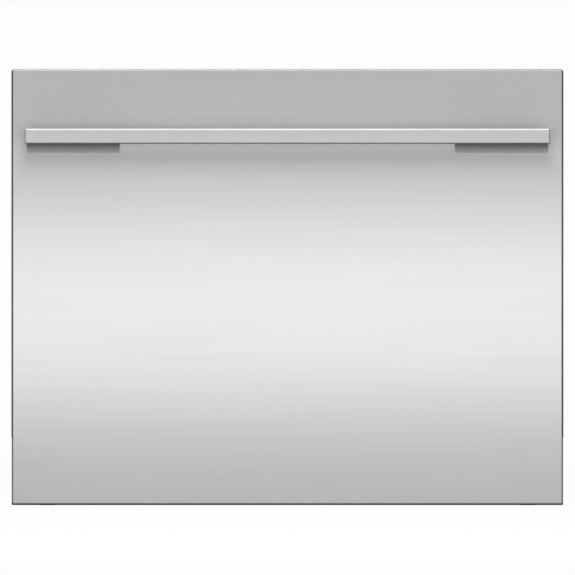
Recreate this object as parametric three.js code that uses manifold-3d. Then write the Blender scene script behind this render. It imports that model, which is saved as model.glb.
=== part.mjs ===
// A single dishwasher drawer for a 600 mm kitchen cabinet: a steel chassis, and a tub with a
// brushed steel front that pulls out of it on telescopic runners. Millimetres, +Z up, front to -Y.
import * as THREE from "three";
import { mergeVertices } from "three/addons/utils/BufferGeometryUtils.js";
import Module from "manifold-3d";

const wasm = await Module();
wasm.setup();

// ---------------------------------------------------------------- driving dimensions
const unitWidth = 598; // chassis, over its side panels
const unitDepth = 615; // face of the handle to the back panel
const footHeight = 6;
const sheet = 1.2; // pressed steel of the chassis
const fitGap = 0.3; // between pieces that touch

// Front panel and handle
const frontWidth = 597;
const frontBottom = 0.5;
const frontTop = 472.5;
const frontThickness = 19.5;
const skinInset = 1.2; // of the steel skin inside the dark frame, at the sides
const skinRise = 1.7; // the same along the lower edge
const skinDepth = 15;
const skinSheet = 1;
const skinBend = 1.2;
const handleReach = 42;
const handleWidth = 567;
const handleHeight = 16.5;
const handleBottom = 391.3;
const handleBarDepth = 12;
const handleFootWidth = 99.5;

// Heights in the chassis
const sideBottom = 73.5; // the side panels end here, above the base tray
const trayWallTop = 92;
const chassisTop = 470.5;
const runnerZ = 118.5;
const consoleTop = 465;

// Tub
const tubCentreY = 25;
const tubWall = 3.5;
const tubTop = { halfX: 272.5, halfY: 233.5, corner: 56 }; // inside, at the rim
const rimTop = 430;
const sumpRadius = 102;
const sumpFloor = 86;
const sprayRadius = 205;

// Lid and its lift
const lidTravel = 12;
const sealTop = 434;
const lidTop = 461;
const lidHalfX = 281;
const lidHalfY = 245;
const lidCorner = 60;
const gearModule = 1;
const pinionTeeth = 18;

// Racks
const wireRadius = 2;
const tineRadius = 1.75;
const tinePitch = 30;
const tineCount = 7;
const tineLength = 88;
const foldingRows = [-140, -44];
const fixedRows = [48, 144];
const rackRim = { halfX: 255, halfY: 223, z: 232 };
const rackFloor = { halfX: 240, halfY: 208, z: 158 };
const cupHingeZ = 300;
const cupRackReach = 104;

// ---------------------------------------------------------------- places worked out from them
const backY = unitDepth / 2;
const handleFrontY = -unitDepth / 2;
const panelFrontY = handleFrontY + handleReach;
const panelBackY = panelFrontY + frontThickness;
const chassisFrontY = panelBackY + 3;
const halfWidth = unitWidth / 2;
const sideInnerX = halfWidth - sheet;
const trayHalfX = sideInnerX - fitGap;
const trayBackY = 264;
const trayInsideY = trayBackY - sheet - fitGap;
const tubFrontY = tubCentreY - tubTop.halfY - tubWall;
const lidBottom = sealTop + fitGap + lidTravel;
const pitchRadius = (gearModule * pinionTeeth) / 2;
const cupHingeX = rackRim.halfX + 2;

// ---------------------------------------------------------------- finishes
const finish = (color, roughness, metalness) =>
  new THREE.MeshStandardMaterial({ color, roughness, metalness });
const brushedSteel = finish(0xc4c5c6, 0.34, 1);
const galvanised = finish(0xa9adaf, 0.5, 1);
const zincSteel = finish(0xb4b6b8, 0.35, 1);
const blackPlastic = finish(0x1b1c1d, 0.55, 0);
const blackRubber = finish(0x18191a, 0.85, 0);
const tubPlastic = finish(0xcfd3d4, 0.42, 0);
const greyPlastic = finish(0xb9bdbf, 0.5, 0);
const greyNylon = finish(0x8f959a, 0.45, 0);
const darkNylon = finish(0x4b5054, 0.5, 0);
const motorCasing = finish(0x3a3d40, 0.45, 0.3);
const whitePlastic = finish(0xe6e7e4, 0.4, 0);
const buttonPlastic = finish(0x9da1a4, 0.35, 0.4);
const lensPlastic = finish(0x2a2d31, 0.12, 0);
const hoseRubber = finish(0x77797a, 0.7, 0);

// ---------------------------------------------------------------- geometry helpers
/** A closed geometry as a solid that can be joined and cut. */
function solid(geometry) {
  const bare = geometry.clone();
  bare.deleteAttribute("normal");
  bare.deleteAttribute("uv");
  const merged = mergeVertices(bare, 1e-4);
  return new wasm.Manifold(
    new wasm.Mesh({
      numProp: 3,
      vertProperties: new Float32Array(merged.attributes.position.array),
      triVerts: new Uint32Array(merged.index.array),
    }),
  );
}

/** A solid back as a geometry. */
function geometryOf(made) {
  const { vertProperties, triVerts } = made.getMesh();
  const geometry = new THREE.BufferGeometry();
  const position = new Float32Array(vertProperties);
  geometry.setAttribute("position", new THREE.BufferAttribute(position, 3));
  geometry.setIndex(new THREE.BufferAttribute(new Uint32Array(triVerts), 1));
  geometry.computeVertexNormals();
  return geometry;
}

const join = (...solids) => solids.flat(2).reduce((sum, next) => sum.add(next));
const cut = (body, ...tools) =>
  tools.flat(2).reduce((left, tool) => left.subtract(tool), body);

/** A box between two values on each axis. */
function block([x0, x1], [y0, y1], [z0, z1]) {
  const geometry = new THREE.BoxGeometry(x1 - x0, y1 - y0, z1 - z0);
  return solid(geometry.translate((x0 + x1) / 2, (y0 + y1) / 2, (z0 + z1) / 2));
}

/** A round bar along an axis, from one value on it to another. */
function rod(axis, [x, y, z], radius, from, to, sides = 16) {
  const geometry = new THREE.CylinderGeometry(radius, radius, to - from, sides);
  if (axis === "x") geometry.rotateZ(-Math.PI / 2);
  if (axis === "z") geometry.rotateX(Math.PI / 2);
  const along = (own, at) => (axis === own ? (from + to) / 2 : at);
  return solid(geometry.translate(along("x", x), along("y", y), along("z", z)));
}

const extruded = (shape, depth, options) =>
  new THREE.ExtrudeGeometry(shape, { depth, bevelEnabled: false, curveSegments: 2, ...options });

/** An outline in X and Y, extruded up. */
const extrudeZ = (shape, z0, z1, options) =>
  solid(extruded(shape, z1 - z0, options).translate(0, 0, z0));

/** An outline in X and Z, extruded along Y. */
const extrudeY = (shape, y0, y1, options) =>
  solid(extruded(shape, y1 - y0, options).rotateX(Math.PI / 2).translate(0, y1, 0));

/** An outline in Y and Z, extruded along X. */
function extrudeX(shape, x0, x1) {
  const turn = new THREE.Matrix4().makeBasis(
    new THREE.Vector3(0, 1, 0),
    new THREE.Vector3(0, 0, 1),
    new THREE.Vector3(1, 0, 0),
  );
  return solid(extruded(shape, x1 - x0).applyMatrix4(turn).translate(x0, 0, 0));
}

/** A closed outline through points. */
const outline = (points) => new THREE.Shape(points.map(([a, b]) => new THREE.Vector2(a, b)));

/** Outline of a rectangle with round corners, centred on (cx, cy). */
function roundedRectangle(halfA, halfB, corner, cx = 0, cy = 0) {
  const shape = new THREE.Shape();
  const quarter = Math.PI / 2;
  shape.absarc(cx + halfA - corner, cy + halfB - corner, corner, 0, quarter);
  shape.absarc(cx - halfA + corner, cy + halfB - corner, corner, quarter, 2 * quarter);
  shape.absarc(cx - halfA + corner, cy - halfB + corner, corner, 2 * quarter, 3 * quarter);
  shape.absarc(cx + halfA - corner, cy - halfB + corner, corner, 3 * quarter, 4 * quarter);
  shape.closePath();
  return shape;
}

/** A ring of points at height z around a rectangle with round corners. */
function level(z, halfX, halfY, corner, { cx = 0, cy = tubCentreY, steps = 3 } = {}) {
  const corners = [[1, 1], [-1, 1], [-1, -1], [1, -1]];
  return corners.flatMap(([sx, sy], quarter) =>
    Array.from({ length: steps + 1 }, (_, i) => {
      const angle = (quarter + i / steps) * (Math.PI / 2);
      return [
        cx + sx * (halfX - corner) + corner * Math.cos(angle),
        cy + sy * (halfY - corner) + corner * Math.sin(angle),
        z,
      ];
    }),
  );
}

/** A closed body skinned over rings: capped at both ends, or closed on itself. */
function loft(rings, closed = false) {
  const count = rings[0].length;
  const index = [];
  const last = closed ? rings.length : rings.length - 1;
  for (let r = 0; r < last; r++)
    for (let i = 0; i < count; i++) {
      const next = ((r + 1) % rings.length) * count;
      const [a, b] = [i, (i + 1) % count];
      index.push(r * count + a, r * count + b, next + b);
      index.push(r * count + a, next + b, next + a);
    }
  const top = (rings.length - 1) * count;
  for (let i = 1; i + 1 < count && !closed; i++)
    index.push(0, i + 1, i, top, top + i, top + i + 1);
  const geometry = new THREE.BufferGeometry();
  geometry.setAttribute("position", new THREE.Float32BufferAttribute(rings.flat(2), 3));
  geometry.setIndex(index);
  return solid(geometry);
}

/** A section of [outward, up] points carried around a rectangle with round corners. */
const hoop = (section, { halfX, halfY, corner }, z = 0, options = {}) =>
  loft(
    section.map(([out, up]) => level(z + up, halfX + out, halfY + out, corner + out, options)),
    true,
  );

/** Corners of a regular polygon, for a wire's section. */
const polygon = (radius, sides) =>
  Array.from({ length: sides }, (_, i) => {
    const angle = (i * 2 * Math.PI) / sides;
    return [radius * Math.cos(angle), radius * Math.sin(angle)];
  });

/** The centre line of a bent wire: straight runs, with its corners eased. */
class BentWire extends THREE.Curve {
  constructor(corners, bend, steps) {
    super();
    this.line = corners.flatMap((corner, i) => {
      const here = new THREE.Vector3(...corner);
      if (i === 0 || i === corners.length - 1) return [here];
      const before = new THREE.Vector3(...corners[i - 1]).sub(here).setLength(bend).add(here);
      const after = new THREE.Vector3(...corners[i + 1]).sub(here).setLength(bend).add(here);
      return new THREE.QuadraticBezierCurve3(before, here, after).getPoints(steps);
    });
  }
  getSpacedPoints() {
    return this.line;
  }
  getTangentAt(u, target = new THREE.Vector3()) {
    const i = Math.round(u * (this.line.length - 1));
    const before = this.line[Math.max(i - 1, 0)];
    const after = this.line[Math.min(i + 1, this.line.length - 1)];
    return target.copy(after).sub(before).normalize();
  }
}

/** A wire of one thickness along corners. */
function wire(corners, radius = wireRadius, { bend = 12, steps = 2, sides = 6 } = {}) {
  const path = new BentWire(corners, bend, steps);
  const section = outline(polygon(radius, sides));
  return solid(extruded(section, 0, { steps: path.line.length - 1, extrudePath: path }));
}

/** Evenly spaced values about a middle. */
const spread = (count, pitch, middle = 0) =>
  Array.from({ length: count }, (_, i) => middle + (i - (count - 1) / 2) * pitch);

/** Copies of a solid turned about the tub's upright axis. */
const turned = (count, make) =>
  Array.from({ length: count }, (_, i) => {
    const turn = (i * 2 * Math.PI) / count;
    return solid(make(i).rotateZ(turn).translate(0, tubCentreY, 0));
  });

const model = new THREE.Group();
model.name = "dishwasher_drawer";

/** Adds a piece to the model under its name. */
function piece(name, body, material) {
  const mesh = new THREE.Mesh(geometryOf(body), material);
  mesh.name = name;
  model.add(mesh);
}

/** A right-hand piece, and its mirror image on the left. */
function pair(name, body, material) {
  piece(name + "_right", body, material);
  piece(name + "_left", body.mirror([1, 0, 0]), material);
}

// ---------------------------------------------------------------- chassis
const connectors = {
  water: { x: 236, z: 40, radius: 12 },
  drain: { x: 176, z: 40, radius: 10 },
  power: { x: -236, z: 40, radius: 9 },
};

/** A shallow panel pressed inward: the metal it adds, and the hollow it leaves outside. */
function pressedPanel([y0, y1], [z0, z1], depth = 3) {
  const rectangle = (x, grow) => [
    [x, y0 - grow, z0 - grow],
    [x, y1 + grow, z0 - grow],
    [x, y1 + grow, z1 + grow],
    [x, y0 - grow, z1 + grow],
  ];
  const wall = 1.4;
  return {
    add: loft([rectangle(sideInnerX - depth, 0), rectangle(sideInnerX + 0.1, depth)]),
    take: loft([
      rectangle(sideInnerX - depth + sheet, -wall / 2),
      rectangle(halfWidth + 1, depth + 1 - wall / 2),
    ]),
  };
}

/** The slots that free a cabinet fixing tab in the side sheet, and its screw hole. */
function tabSlots(z) {
  const through = [sideInnerX - 1, halfWidth + 1];
  const y = [-231, -205];
  const half = 11;
  const slot = 1.5;
  return [
    block(through, y, [z + half, z + half + slot]),
    block(through, y, [z - half - slot, z - half]),
    block(through, [y[1], y[1] + slot], [z - half - slot, z + half + slot]),
    rod("x", [0, -214, z], 2.6, ...through, 8),
  ];
}

/** Side sheet with folded edges, pressed panels and three cabinet fixing tabs. */
function sidePanel() {
  const top = chassisTop - sheet - fitGap;
  const rear = backY - sheet - fitGap;
  const wallX = [sideInnerX, halfWidth];
  const flangeX = [sideInnerX - 13, sideInnerX + 0.1];
  const panels = [pressedPanel([-180, 20], [190, 400]), pressedPanel([60, 270], [190, 400])];
  const body = join(
    block(wallX, [chassisFrontY, rear], [sideBottom, top]),
    block(flangeX, [chassisFrontY, rear], [top - sheet, top]),
    block([sideInnerX - 6, wallX[0] + 0.1], [chassisFrontY, chassisFrontY + sheet], [150, top]),
    block(flangeX, [rear - sheet, rear], [sideBottom + 4, top]),
    panels.map((panel) => panel.add),
  );
  return cut(body, panels.map((panel) => panel.take), [170, 290, 410].map(tabSlots));
}

/** Shallow pressed tray that closes the chassis below and catches leaks. */
function baseTray() {
  const lipTop = 28;
  const bottom = [footHeight, footHeight + sheet];
  const across = [-trayHalfX, trayHalfX];
  const deep = [chassisFrontY, trayBackY];
  const high = [footHeight, trayWallTop];
  const ribs = spread(4, 140);
  const rib = (half, z) => (x) =>
    block([x - half, x + half], [chassisFrontY + 20, trayBackY - 24], z);
  const shell = join(
    block(across, deep, bottom),
    block([-trayHalfX, -trayHalfX + sheet], deep, high),
    block([trayHalfX - sheet, trayHalfX], deep, high),
    block(across, [trayBackY - sheet, trayBackY], high),
    block(across, [chassisFrontY, chassisFrontY + sheet], [footHeight, lipTop]),
    block(across, [chassisFrontY, chassisFrontY + 10], [lipTop - sheet, lipTop]),
    ribs.map(rib(7, [footHeight + 0.1, footHeight + 3])),
  );
  const holes = Object.values(connectors).map(({ x, z, radius }) =>
    rod("y", [x, 0, z], radius + 1.2, trayBackY - 3, trayBackY + 1, 12),
  );
  return cut(shell, ribs.map(rib(5.8, [footHeight - 1, footHeight + 3 - sheet])), holes);
}

/** Back sheet with two upright pressings, and a shelf over the service recess. */
function rearPanel() {
  const press = 5;
  const upright = (half, y, z) => [-140, 140].map((x) => block([x - half, x + half], y, z));
  const plate = join(
    block([-halfWidth, halfWidth], [backY - sheet, backY], [sideBottom, chassisTop]),
    block(
      [-trayHalfX, trayHalfX],
      [trayBackY + fitGap, backY - sheet + 0.1],
      [sideBottom, sideBottom + sheet],
    ),
    upright(22, [backY - press, backY - sheet + 0.1], [130, 420]),
  );
  return cut(plate, upright(22 - sheet, [backY - press + sheet, backY + 1], [131, 419]));
}

/** Top sheet with three cross pressings. */
function topPanel() {
  const underside = chassisTop - sheet;
  const drop = 2;
  const across = (halfX, halfY, z) =>
    [-150, 0, 150].map((y) => block([-halfX, halfX], [y - halfY, y + halfY], z));
  const plate = join(
    block([-halfWidth, halfWidth], [chassisFrontY, backY - sheet - fitGap], [underside, chassisTop]),
    across(230, 16, [underside - drop, underside + 0.1]),
  );
  return cut(plate, across(230 - sheet, 16 - sheet, [chassisTop - drop, chassisTop + 1]));
}

/** Rubber edging around the chassis's opening, which the runners pass inside. */
function edgeTrim() {
  const y = [panelBackY + fitGap, chassisFrontY - fitGap];
  const frame = block([-halfWidth, halfWidth], y, [sideBottom, chassisTop]);
  const through = [y[0] - 1, y[1] + 1];
  const opening = block([9 - halfWidth, halfWidth - 9], through, [0, consoleTop + 2]);
  const reach = runner.middle.web + 0.8;
  const notches = block([-reach, reach], through, [runnerZ - 23, runnerZ + 23]); // for the runners
  return cut(frame, opening, notches);
}

/** Rubber skid with a chamfered sole, which the chassis stands on. */
function footRail() {
  const top = footHeight - fitGap;
  const section = [[252, 0], [268, 0], [270, 2], [270, top], [250, top], [250, 2]];
  return extrudeY(outline(section), -226, 246);
}

/** Water inlet: a solenoid valve, and a threaded tail through the tray's rear wall. */
function waterValve({ x, z, radius }) {
  const thread = spread(2, 7, trayBackY + 26).map((y) =>
    rod("y", [x, 0, z], radius, y - 1.5, y + 1.5, 12),
  );
  return join(
    block([x - 17, x + 17], [trayInsideY - 34, trayInsideY], [z - 17, z + 17]),
    rod("y", [x, 0, z], 14, trayInsideY - 46, trayInsideY - 33),
    rod("y", [x, 0, z], radius - 1.2, trayInsideY - 1, trayBackY + 34, 12),
    thread,
  );
}

/** Drain outlet: a barbed spigot through the tray's rear wall. */
function drainOutlet({ x, z, radius }) {
  const barbs = [14, 23].map((at) => {
    const barb = new THREE.CylinderGeometry(radius - 2.5, radius, 6, 12);
    return solid(barb.translate(x, trayBackY + at, z));
  });
  const body = join(
    rod("y", [x, 0, z], radius + 4, trayInsideY - 10, trayInsideY, 12),
    rod("y", [x, 0, z], radius - 2, trayInsideY - 1, trayBackY + 32, 12),
    barbs,
  );
  return cut(body, rod("y", [x, 0, z], radius - 4.5, trayInsideY - 11, trayBackY + 33, 8));
}

/** Appliance inlet for the mains lead: a shrouded three-pin socket. */
function powerInlet({ x, z, radius }) {
  const body = join(
    block([x - 16, x + 16], [trayBackY + fitGap, trayBackY + 4], [z - 13, z + 13]),
    rod("y", [x, 0, z], radius, trayInsideY - 22, trayBackY + 3, 12),
    extrudeY(roundedRectangle(12, 9.5, 3, x, z), trayBackY + 3, trayBackY + 22),
  );
  const well = extrudeY(roundedRectangle(10, 7.5, 2, x, z), trayBackY + 8, trayBackY + 23);
  const pins = [-6, 0, 6].map((at) =>
    block([x + at - 1, x + at + 1], [trayBackY + 7, trayBackY + 19], [z - 2.5, z + 2.5]),
  );
  return join(cut(body, well), pins);
}

// ---------------------------------------------------------------- telescopic runners
const runner = {
  y: [-238, 262],
  sheet: 1.4,
  outer: { web: 297.5, reach: 287, half: 21.5 },
  middle: { web: 294.6, reach: 286.5, half: 18 },
  inner: { web: 284, reach: 291, half: 14.5 },
};

/** A channel section from its web to the edges of its two flanges, along the runner. */
function channel({ web, reach, half }) {
  const sign = Math.sign(reach - web);
  const floor = web + sign * runner.sheet;
  const [low, high] = [runnerZ - half, runnerZ + half];
  const [innerLow, innerHigh] = [low + runner.sheet, high - runner.sheet];
  const section = [
    [web, low], [reach, low], [reach, innerLow], [floor, innerLow],
    [floor, innerHigh], [reach, innerHigh], [reach, high], [web, high],
  ];
  return extrudeY(outline(section), ...runner.y);
}

/** Screw slots along the middle of a channel's web. */
const webSlots = (x, places) =>
  places.map((y) => block([x - 2.5, x + 2.5], [y - 9, y + 9], [runnerZ - 3, runnerZ + 3]));

/** Fixed member, screwed to the side panel. */
const runnerOuter = () => cut(channel(runner.outer), webSlots(runner.outer.web, [-180, 30, 220]));

/** Middle member, with the ball cages it carries above and below. */
function runnerMiddle() {
  const { half } = runner.middle;
  const outside = half + 1.8;
  const inside = half - runner.sheet - 1.7;
  const cage = (y) => [
    block([288.5, 292], y, [runnerZ + half - 0.1, runnerZ + outside]),
    block([288.5, 292], y, [runnerZ - outside, runnerZ - half + 0.1]),
    block([287, 290.5], y, [runnerZ + inside, runnerZ + half - runner.sheet + 0.1]),
    block([287, 290.5], y, [runnerZ - half + runner.sheet - 0.1, runnerZ - inside]),
  ];
  return join(channel(runner.middle), cage([-236, -150]), cage([150, 236]));
}

/** Inner member, which carries the tub. */
const runnerInner = () => cut(channel(runner.inner), webSlots(runner.inner.web, [-200, 0, 160]));

/** Folded bracket that hangs the tub on the inner runner. */
function runnerBracket() {
  const web = [281, 283.6];
  const y = [-205, 250];
  const z = [100, 139];
  const bracket = join(
    block(web, y, z),
    block([272.6, web[0] + 0.1], y, [z[1] - 2.4, z[1]]),
    block([262, web[0] + 0.1], y, [z[0], z[0] + 2.4]),
  );
  const windows = spread(4, 105, 22).map((at) =>
    block([web[0] - 1, web[1] + 1], [at - 30, at + 30], [111, 127]),
  );
  return cut(bracket, windows);
}

// ---------------------------------------------------------------- drawer front
const skin = {
  halfX: frontWidth / 2 - skinInset,
  bottom: frontBottom + skinRise,
  top: frontTop,
};

/** Folded steel skin: a flat face with rolled edges and returns, open at the back. */
function frontSkin() {
  const { halfX, bottom, top } = skin;
  const rolled = {
    bevelEnabled: true,
    bevelThickness: skinBend,
    bevelSize: skinBend,
    bevelOffset: -skinBend,
    bevelSegments: 3,
  };
  const corner = skinBend + 0.3;
  const face = roundedRectangle(halfX, (top - bottom) / 2, corner, 0, (top + bottom) / 2);
  const blank = extrudeY(face, panelFrontY + skinBend, panelFrontY + skinDepth + 5, rolled);
  const t = skinSheet;
  return cut(
    blank,
    block([-halfX - 1, halfX + 1], [panelFrontY + skinDepth, 0], [0, top + 1]),
    block([-halfX + t, halfX - t], [panelFrontY + t, 0], [bottom + t, top - t]),
  );
}

/** Dark moulded core that stiffens the skin, with a lip that shows beside and below it. */
function frontCore() {
  const insideX = skin.halfX - skinSheet - fitGap;
  const insideZ = [skin.bottom + skinSheet + fitGap, skin.top - skinSheet - fitGap];
  const lipY = panelFrontY + skinDepth + fitGap;
  return join(
    block([-frontWidth / 2, frontWidth / 2], [lipY, panelBackY], [frontBottom, frontTop - 0.8]),
    block([-insideX, insideX], [panelFrontY + skinSheet + fitGap, lipY + 0.1], insideZ),
  );
}

const dispenser = { x: [20, 170], z: [300, 395], cupX: 65, tankX: 135, middleZ: 349 };

/** Moulded box between the front and the tub, for the electronics and the dispenser. */
function frontBox() {
  const wall = 2.5;
  const halfX = 283;
  const y = [panelBackY + fitGap, tubFrontY - 1];
  const z = [60, 425.2];
  const shell = cut(
    block([-halfX, halfX], y, z),
    block([-halfX + wall, halfX - wall], [y[0] - 1, y[1] - wall], [z[0] + wall, z[1] - wall]),
  );
  const ribs = [-170, 0, 215].map((x) =>
    block([x - 1.2, x + 1.2], [y[1] - 16, y[1] - wall + 0.1], [z[0] + 1, z[1] - 1]),
  );
  const [left, right] = dispenser.x;
  const [low, high] = dispenser.z;
  return cut(join(shell, ribs), block([left + 4, right - 4], [y[0], y[1] + 1], [low + 4, high - 4]));
}

const consoleStrip = { y: [panelBackY + fitGap, -226], bottom: 425.6, halfX: 268, wall: 2.5 };
const consoleMiddleY = (consoleStrip.y[0] + consoleStrip.y[1]) / 2;
const buttonX = { power: -196, programme: -152, option: 152, start: 196 };
const buttonHalf = { x: 9, y: 4.5, corner: 2 };
const lens = { halfX: 84, halfY: 3, thick: 0.9 };

/** Control strip along the top of the drawer, which shows only when it is open. */
function controlConsole() {
  const { y, bottom, halfX, wall } = consoleStrip;
  const section = [
    [y[0], bottom], [y[1], bottom], [y[1], consoleTop - 3], [y[1] - 3, consoleTop], [y[0], consoleTop],
  ];
  const inside = block(
    [-halfX + wall, halfX - wall],
    [y[0] + wall, y[1] - wall],
    [bottom - 1, consoleTop - wall],
  );
  const clear = 0.4;
  const holes = Object.values(buttonX).map((x) => {
    const { x: a, y: b, corner } = buttonHalf;
    const hole = roundedRectangle(a + clear, b + clear, corner + clear, x, consoleMiddleY);
    return extrudeZ(hole, consoleTop - 5, consoleTop + 1);
  });
  const seat = block(
    [-lens.halfX - fitGap, lens.halfX + fitGap],
    [consoleMiddleY - lens.halfY - fitGap, consoleMiddleY + lens.halfY + fitGap],
    [consoleTop - lens.thick - fitGap, consoleTop + 1],
  );
  return cut(extrudeX(outline(section), -halfX, halfX), inside, holes, seat);
}

/** Push button: a cap in its hole, on a flange that keeps it in. */
function button(x) {
  const { x: a, y: b, corner } = buttonHalf;
  const underside = consoleTop - consoleStrip.wall;
  return join(
    extrudeZ(roundedRectangle(a, b, corner, x, consoleMiddleY), underside - 2, consoleTop + 0.6),
    block(
      [x - a - 2, x + a + 2],
      [consoleMiddleY - 6, consoleMiddleY + 6],
      [underside - 3, underside - fitGap],
    ),
  );
}

const indicatorLens = () =>
  block(
    [-lens.halfX, lens.halfX],
    [consoleMiddleY - lens.halfY, consoleMiddleY + lens.halfY],
    [consoleTop - lens.thick, consoleTop],
  );

/** Electronics case in the front box, with two plug shrouds and a ribbed cover. */
function controllerModule() {
  const y = [panelBackY + 0.6, tubFrontY - 1 - 2.5 - fitGap];
  const shroudY = [y[0] + 6, y[1] - 6];
  const body = join(
    block([-262, -176], y, [96, 236]),
    block([-250, -222], shroudY, [235, 246]),
    block([-212, -190], shroudY, [235, 246]),
  );
  const grooves = spread(6, 20, 166).map((z) =>
    block([-256, -182], [y[1] - 1.5, y[1] + 1], [z - 3, z + 3]),
  );
  return cut(body, grooves);
}

/** Square handle bar with chamfered edges. */
function handleBar() {
  const chamfer = 1.2;
  const chamfered = {
    bevelEnabled: true,
    bevelThickness: chamfer,
    bevelSize: chamfer,
    bevelOffset: -chamfer,
    bevelSegments: 1,
  };
  const [left, right] = [-handleWidth / 2, handleWidth / 2];
  const [low, high] = [handleBottom, handleBottom + handleHeight];
  const face = outline([[left, low], [right, low], [right, high], [left, high]]);
  const y = [handleFrontY + chamfer, handleFrontY + handleBarDepth - chamfer];
  return extrudeY(face, ...y, chamfered);
}

/** Wide foot behind each end of the bar, drilled for two screws from inside the front. */
function handleFoot() {
  const outerX = handleWidth / 2 - 1.5;
  const y = [handleFrontY + handleBarDepth + fitGap, panelFrontY - fitGap];
  const z = [handleBottom + 0.9, handleBottom + handleHeight - 0.9];
  const screws = [24, 76].map((at) =>
    rod("y", [outerX - at, 0, (z[0] + z[1]) / 2], 2.4, y[1] - 16, y[1] + 1, 8),
  );
  return cut(block([outerX - handleFootWidth, outerX], y, z), screws);
}

// ---------------------------------------------------------------- tub and wash system
/** The tub's inside from the sump to the rim: height, half widths and corner radius. */
const tubLevels = [
  [sumpFloor, sumpRadius, sumpRadius, sumpRadius],
  [104, 108, 108, 108],
  [106, 122, 122, 122],
  [110, 225, 190, 66],
  [114, 246, 211, 52],
  [124, 262, 227, 50],
  [140, 268.5, tubTop.halfY, 54],
];

const spigots = [
  { x: -60, radius: 8 },
  { x: -104, radius: 6 },
];
const spigotZ = 94;
const spigotEndY = 182;

/** Moulded tub: one shell from the round sump to the rim's flange, with posts for the rack. */
function tub() {
  const { halfX, halfY, corner } = tubTop;
  const w = tubWall;
  const grown = tubLevels.map(([z, a, b, c]) => level(z < 140 ? z - w : z, a + w, b + w, c + w));
  const outer = loft([...grown, level(rimTop - 1, halfX + w, halfY + w, corner + w)]);
  const flange = loft([rimTop - 4, rimTop].map((z) => level(z, 283, 243, 62)));
  const posts = [-200, 200].flatMap((x) =>
    [-180, 180].map((y) => {
      const top = rackFloor.z - wireRadius - fitGap;
      return rod("z", [x, tubCentreY + y, 0], 8, 109, top, 8);
    }),
  );
  const inner = loft([
    ...tubLevels.map((values) => level(...values)),
    level(rimTop + 1, halfX, halfY, corner),
  ]);
  const pipes = spigots.map(({ x, radius }) =>
    rod("y", [x, 0, spigotZ], radius, tubCentreY + 40, spigotEndY, 10),
  );
  const bores = spigots.map(({ x, radius }) =>
    rod("y", [x, 0, spigotZ], radius - 2, tubCentreY + 39, spigotEndY + 1, 8),
  );
  const [left, right] = dispenser.x;
  const [low, high] = dispenser.z;
  return cut(
    join(cut(join(outer, flange, pipes), inner), posts),
    bores,
    rod("z", [0, tubCentreY, 0], 8, 70, sumpFloor + 2, 12),
    block([left + 3, right - 3], [tubFrontY - 2, tubFrontY + 12], [low + 3, high - 3]),
  );
}

/** Soft seal on the rim, with the raised bead that the lid comes down on. */
function tubSeal() {
  const base = rimTop + fitGap;
  const section = [
    [3.6, base], [3.6, rimTop + 2], [1.8, rimTop + 2.2], [1, sealTop],
    [-1, sealTop], [-1.8, rimTop + 2.2], [-3.6, rimTop + 2], [-3.6, base],
  ];
  return hoop(section, { halfX: 277, halfY: 238, corner: 59 });
}

/** Wash motor under the sump: a stepped can with cooling fins. */
function washMotor() {
  const top = sumpFloor - tubWall - fitGap;
  const profile = [[0, 36], [30, 36], [36, 40], [36, 50], [41, 52], [41, 70], [36, 72], [36, top], [0, top]];
  const can = new THREE.LatheGeometry(profile.map(([r, z]) => new THREE.Vector2(r, z)), 20);
  const fin = () => new THREE.BoxGeometry(5, 2, 10).translate(41.5, 0, 61);
  return cut(
    join(solid(can.rotateX(Math.PI / 2).translate(0, tubCentreY, 0)), turned(6, fin)),
    rod("z", [0, tubCentreY, 0], 6, 44, top + 1, 12),
  );
}

/** Impeller with swept vanes on the motor's shaft, in the sump. */
function washRotor() {
  const middle = [0, tubCentreY, 0];
  const vane = () => {
    const shape = new THREE.Shape();
    shape.absarc(20, -16, 24, Math.PI * 0.38, Math.PI * 0.86, false);
    shape.absarc(20, -16, 21.6, Math.PI * 0.86, Math.PI * 0.38, true);
    return extruded(shape, 10).translate(0, 0, 90.4);
  };
  return join(
    rod("z", middle, 37, 88, 91, 20),
    rod("z", middle, 11, 90, 101, 12),
    rod("z", middle, 4.5, 46, 89, 10),
    turned(6, vane),
  );
}

/** Ring heater under the sump, with two terminals. */
function heaterRing() {
  const top = sumpFloor - tubWall - fitGap;
  const middle = [0, tubCentreY, 0];
  const ring = cut(rod("z", middle, 98, top - 4, top, 28), rod("z", middle, 49, top - 5, top + 1, 20));
  const terminals = [66, 84].map((x) =>
    block([x - 3, x + 3], [tubCentreY - 1, tubCentreY + 1], [top - 14, top - 3.9]),
  );
  return join(ring, terminals);
}

const drainFilterX = -74;
const filterZ = [106.4, 109.4];

/** Round filter over the sump: slotted plate, spray arm spigot, and a port for the drain filter. */
function filterPlate() {
  const middle = [0, tubCentreY, 0];
  const body = join(
    rod("z", middle, 119, ...filterZ, 32),
    rod("z", middle, 20, filterZ[1] - 0.1, 121, 16),
    rod("z", middle, 13.5, 120, 136, 14),
  );
  const count = 18;
  const slots = turned(count, (i) => {
    const long = i % 2 === 0;
    return new THREE.BoxGeometry(long ? 70 : 50, 4, 8).translate(long ? 72 : 82, 0, 108);
  }).filter((_, i) => Math.abs(i - count / 2) > 1.5);
  return cut(
    body,
    slots,
    rod("z", middle, 10.5, 104, 137, 12),
    rod("z", [drainFilterX, tubCentreY, 0], 24, 104, 116, 16),
  );
}

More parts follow.
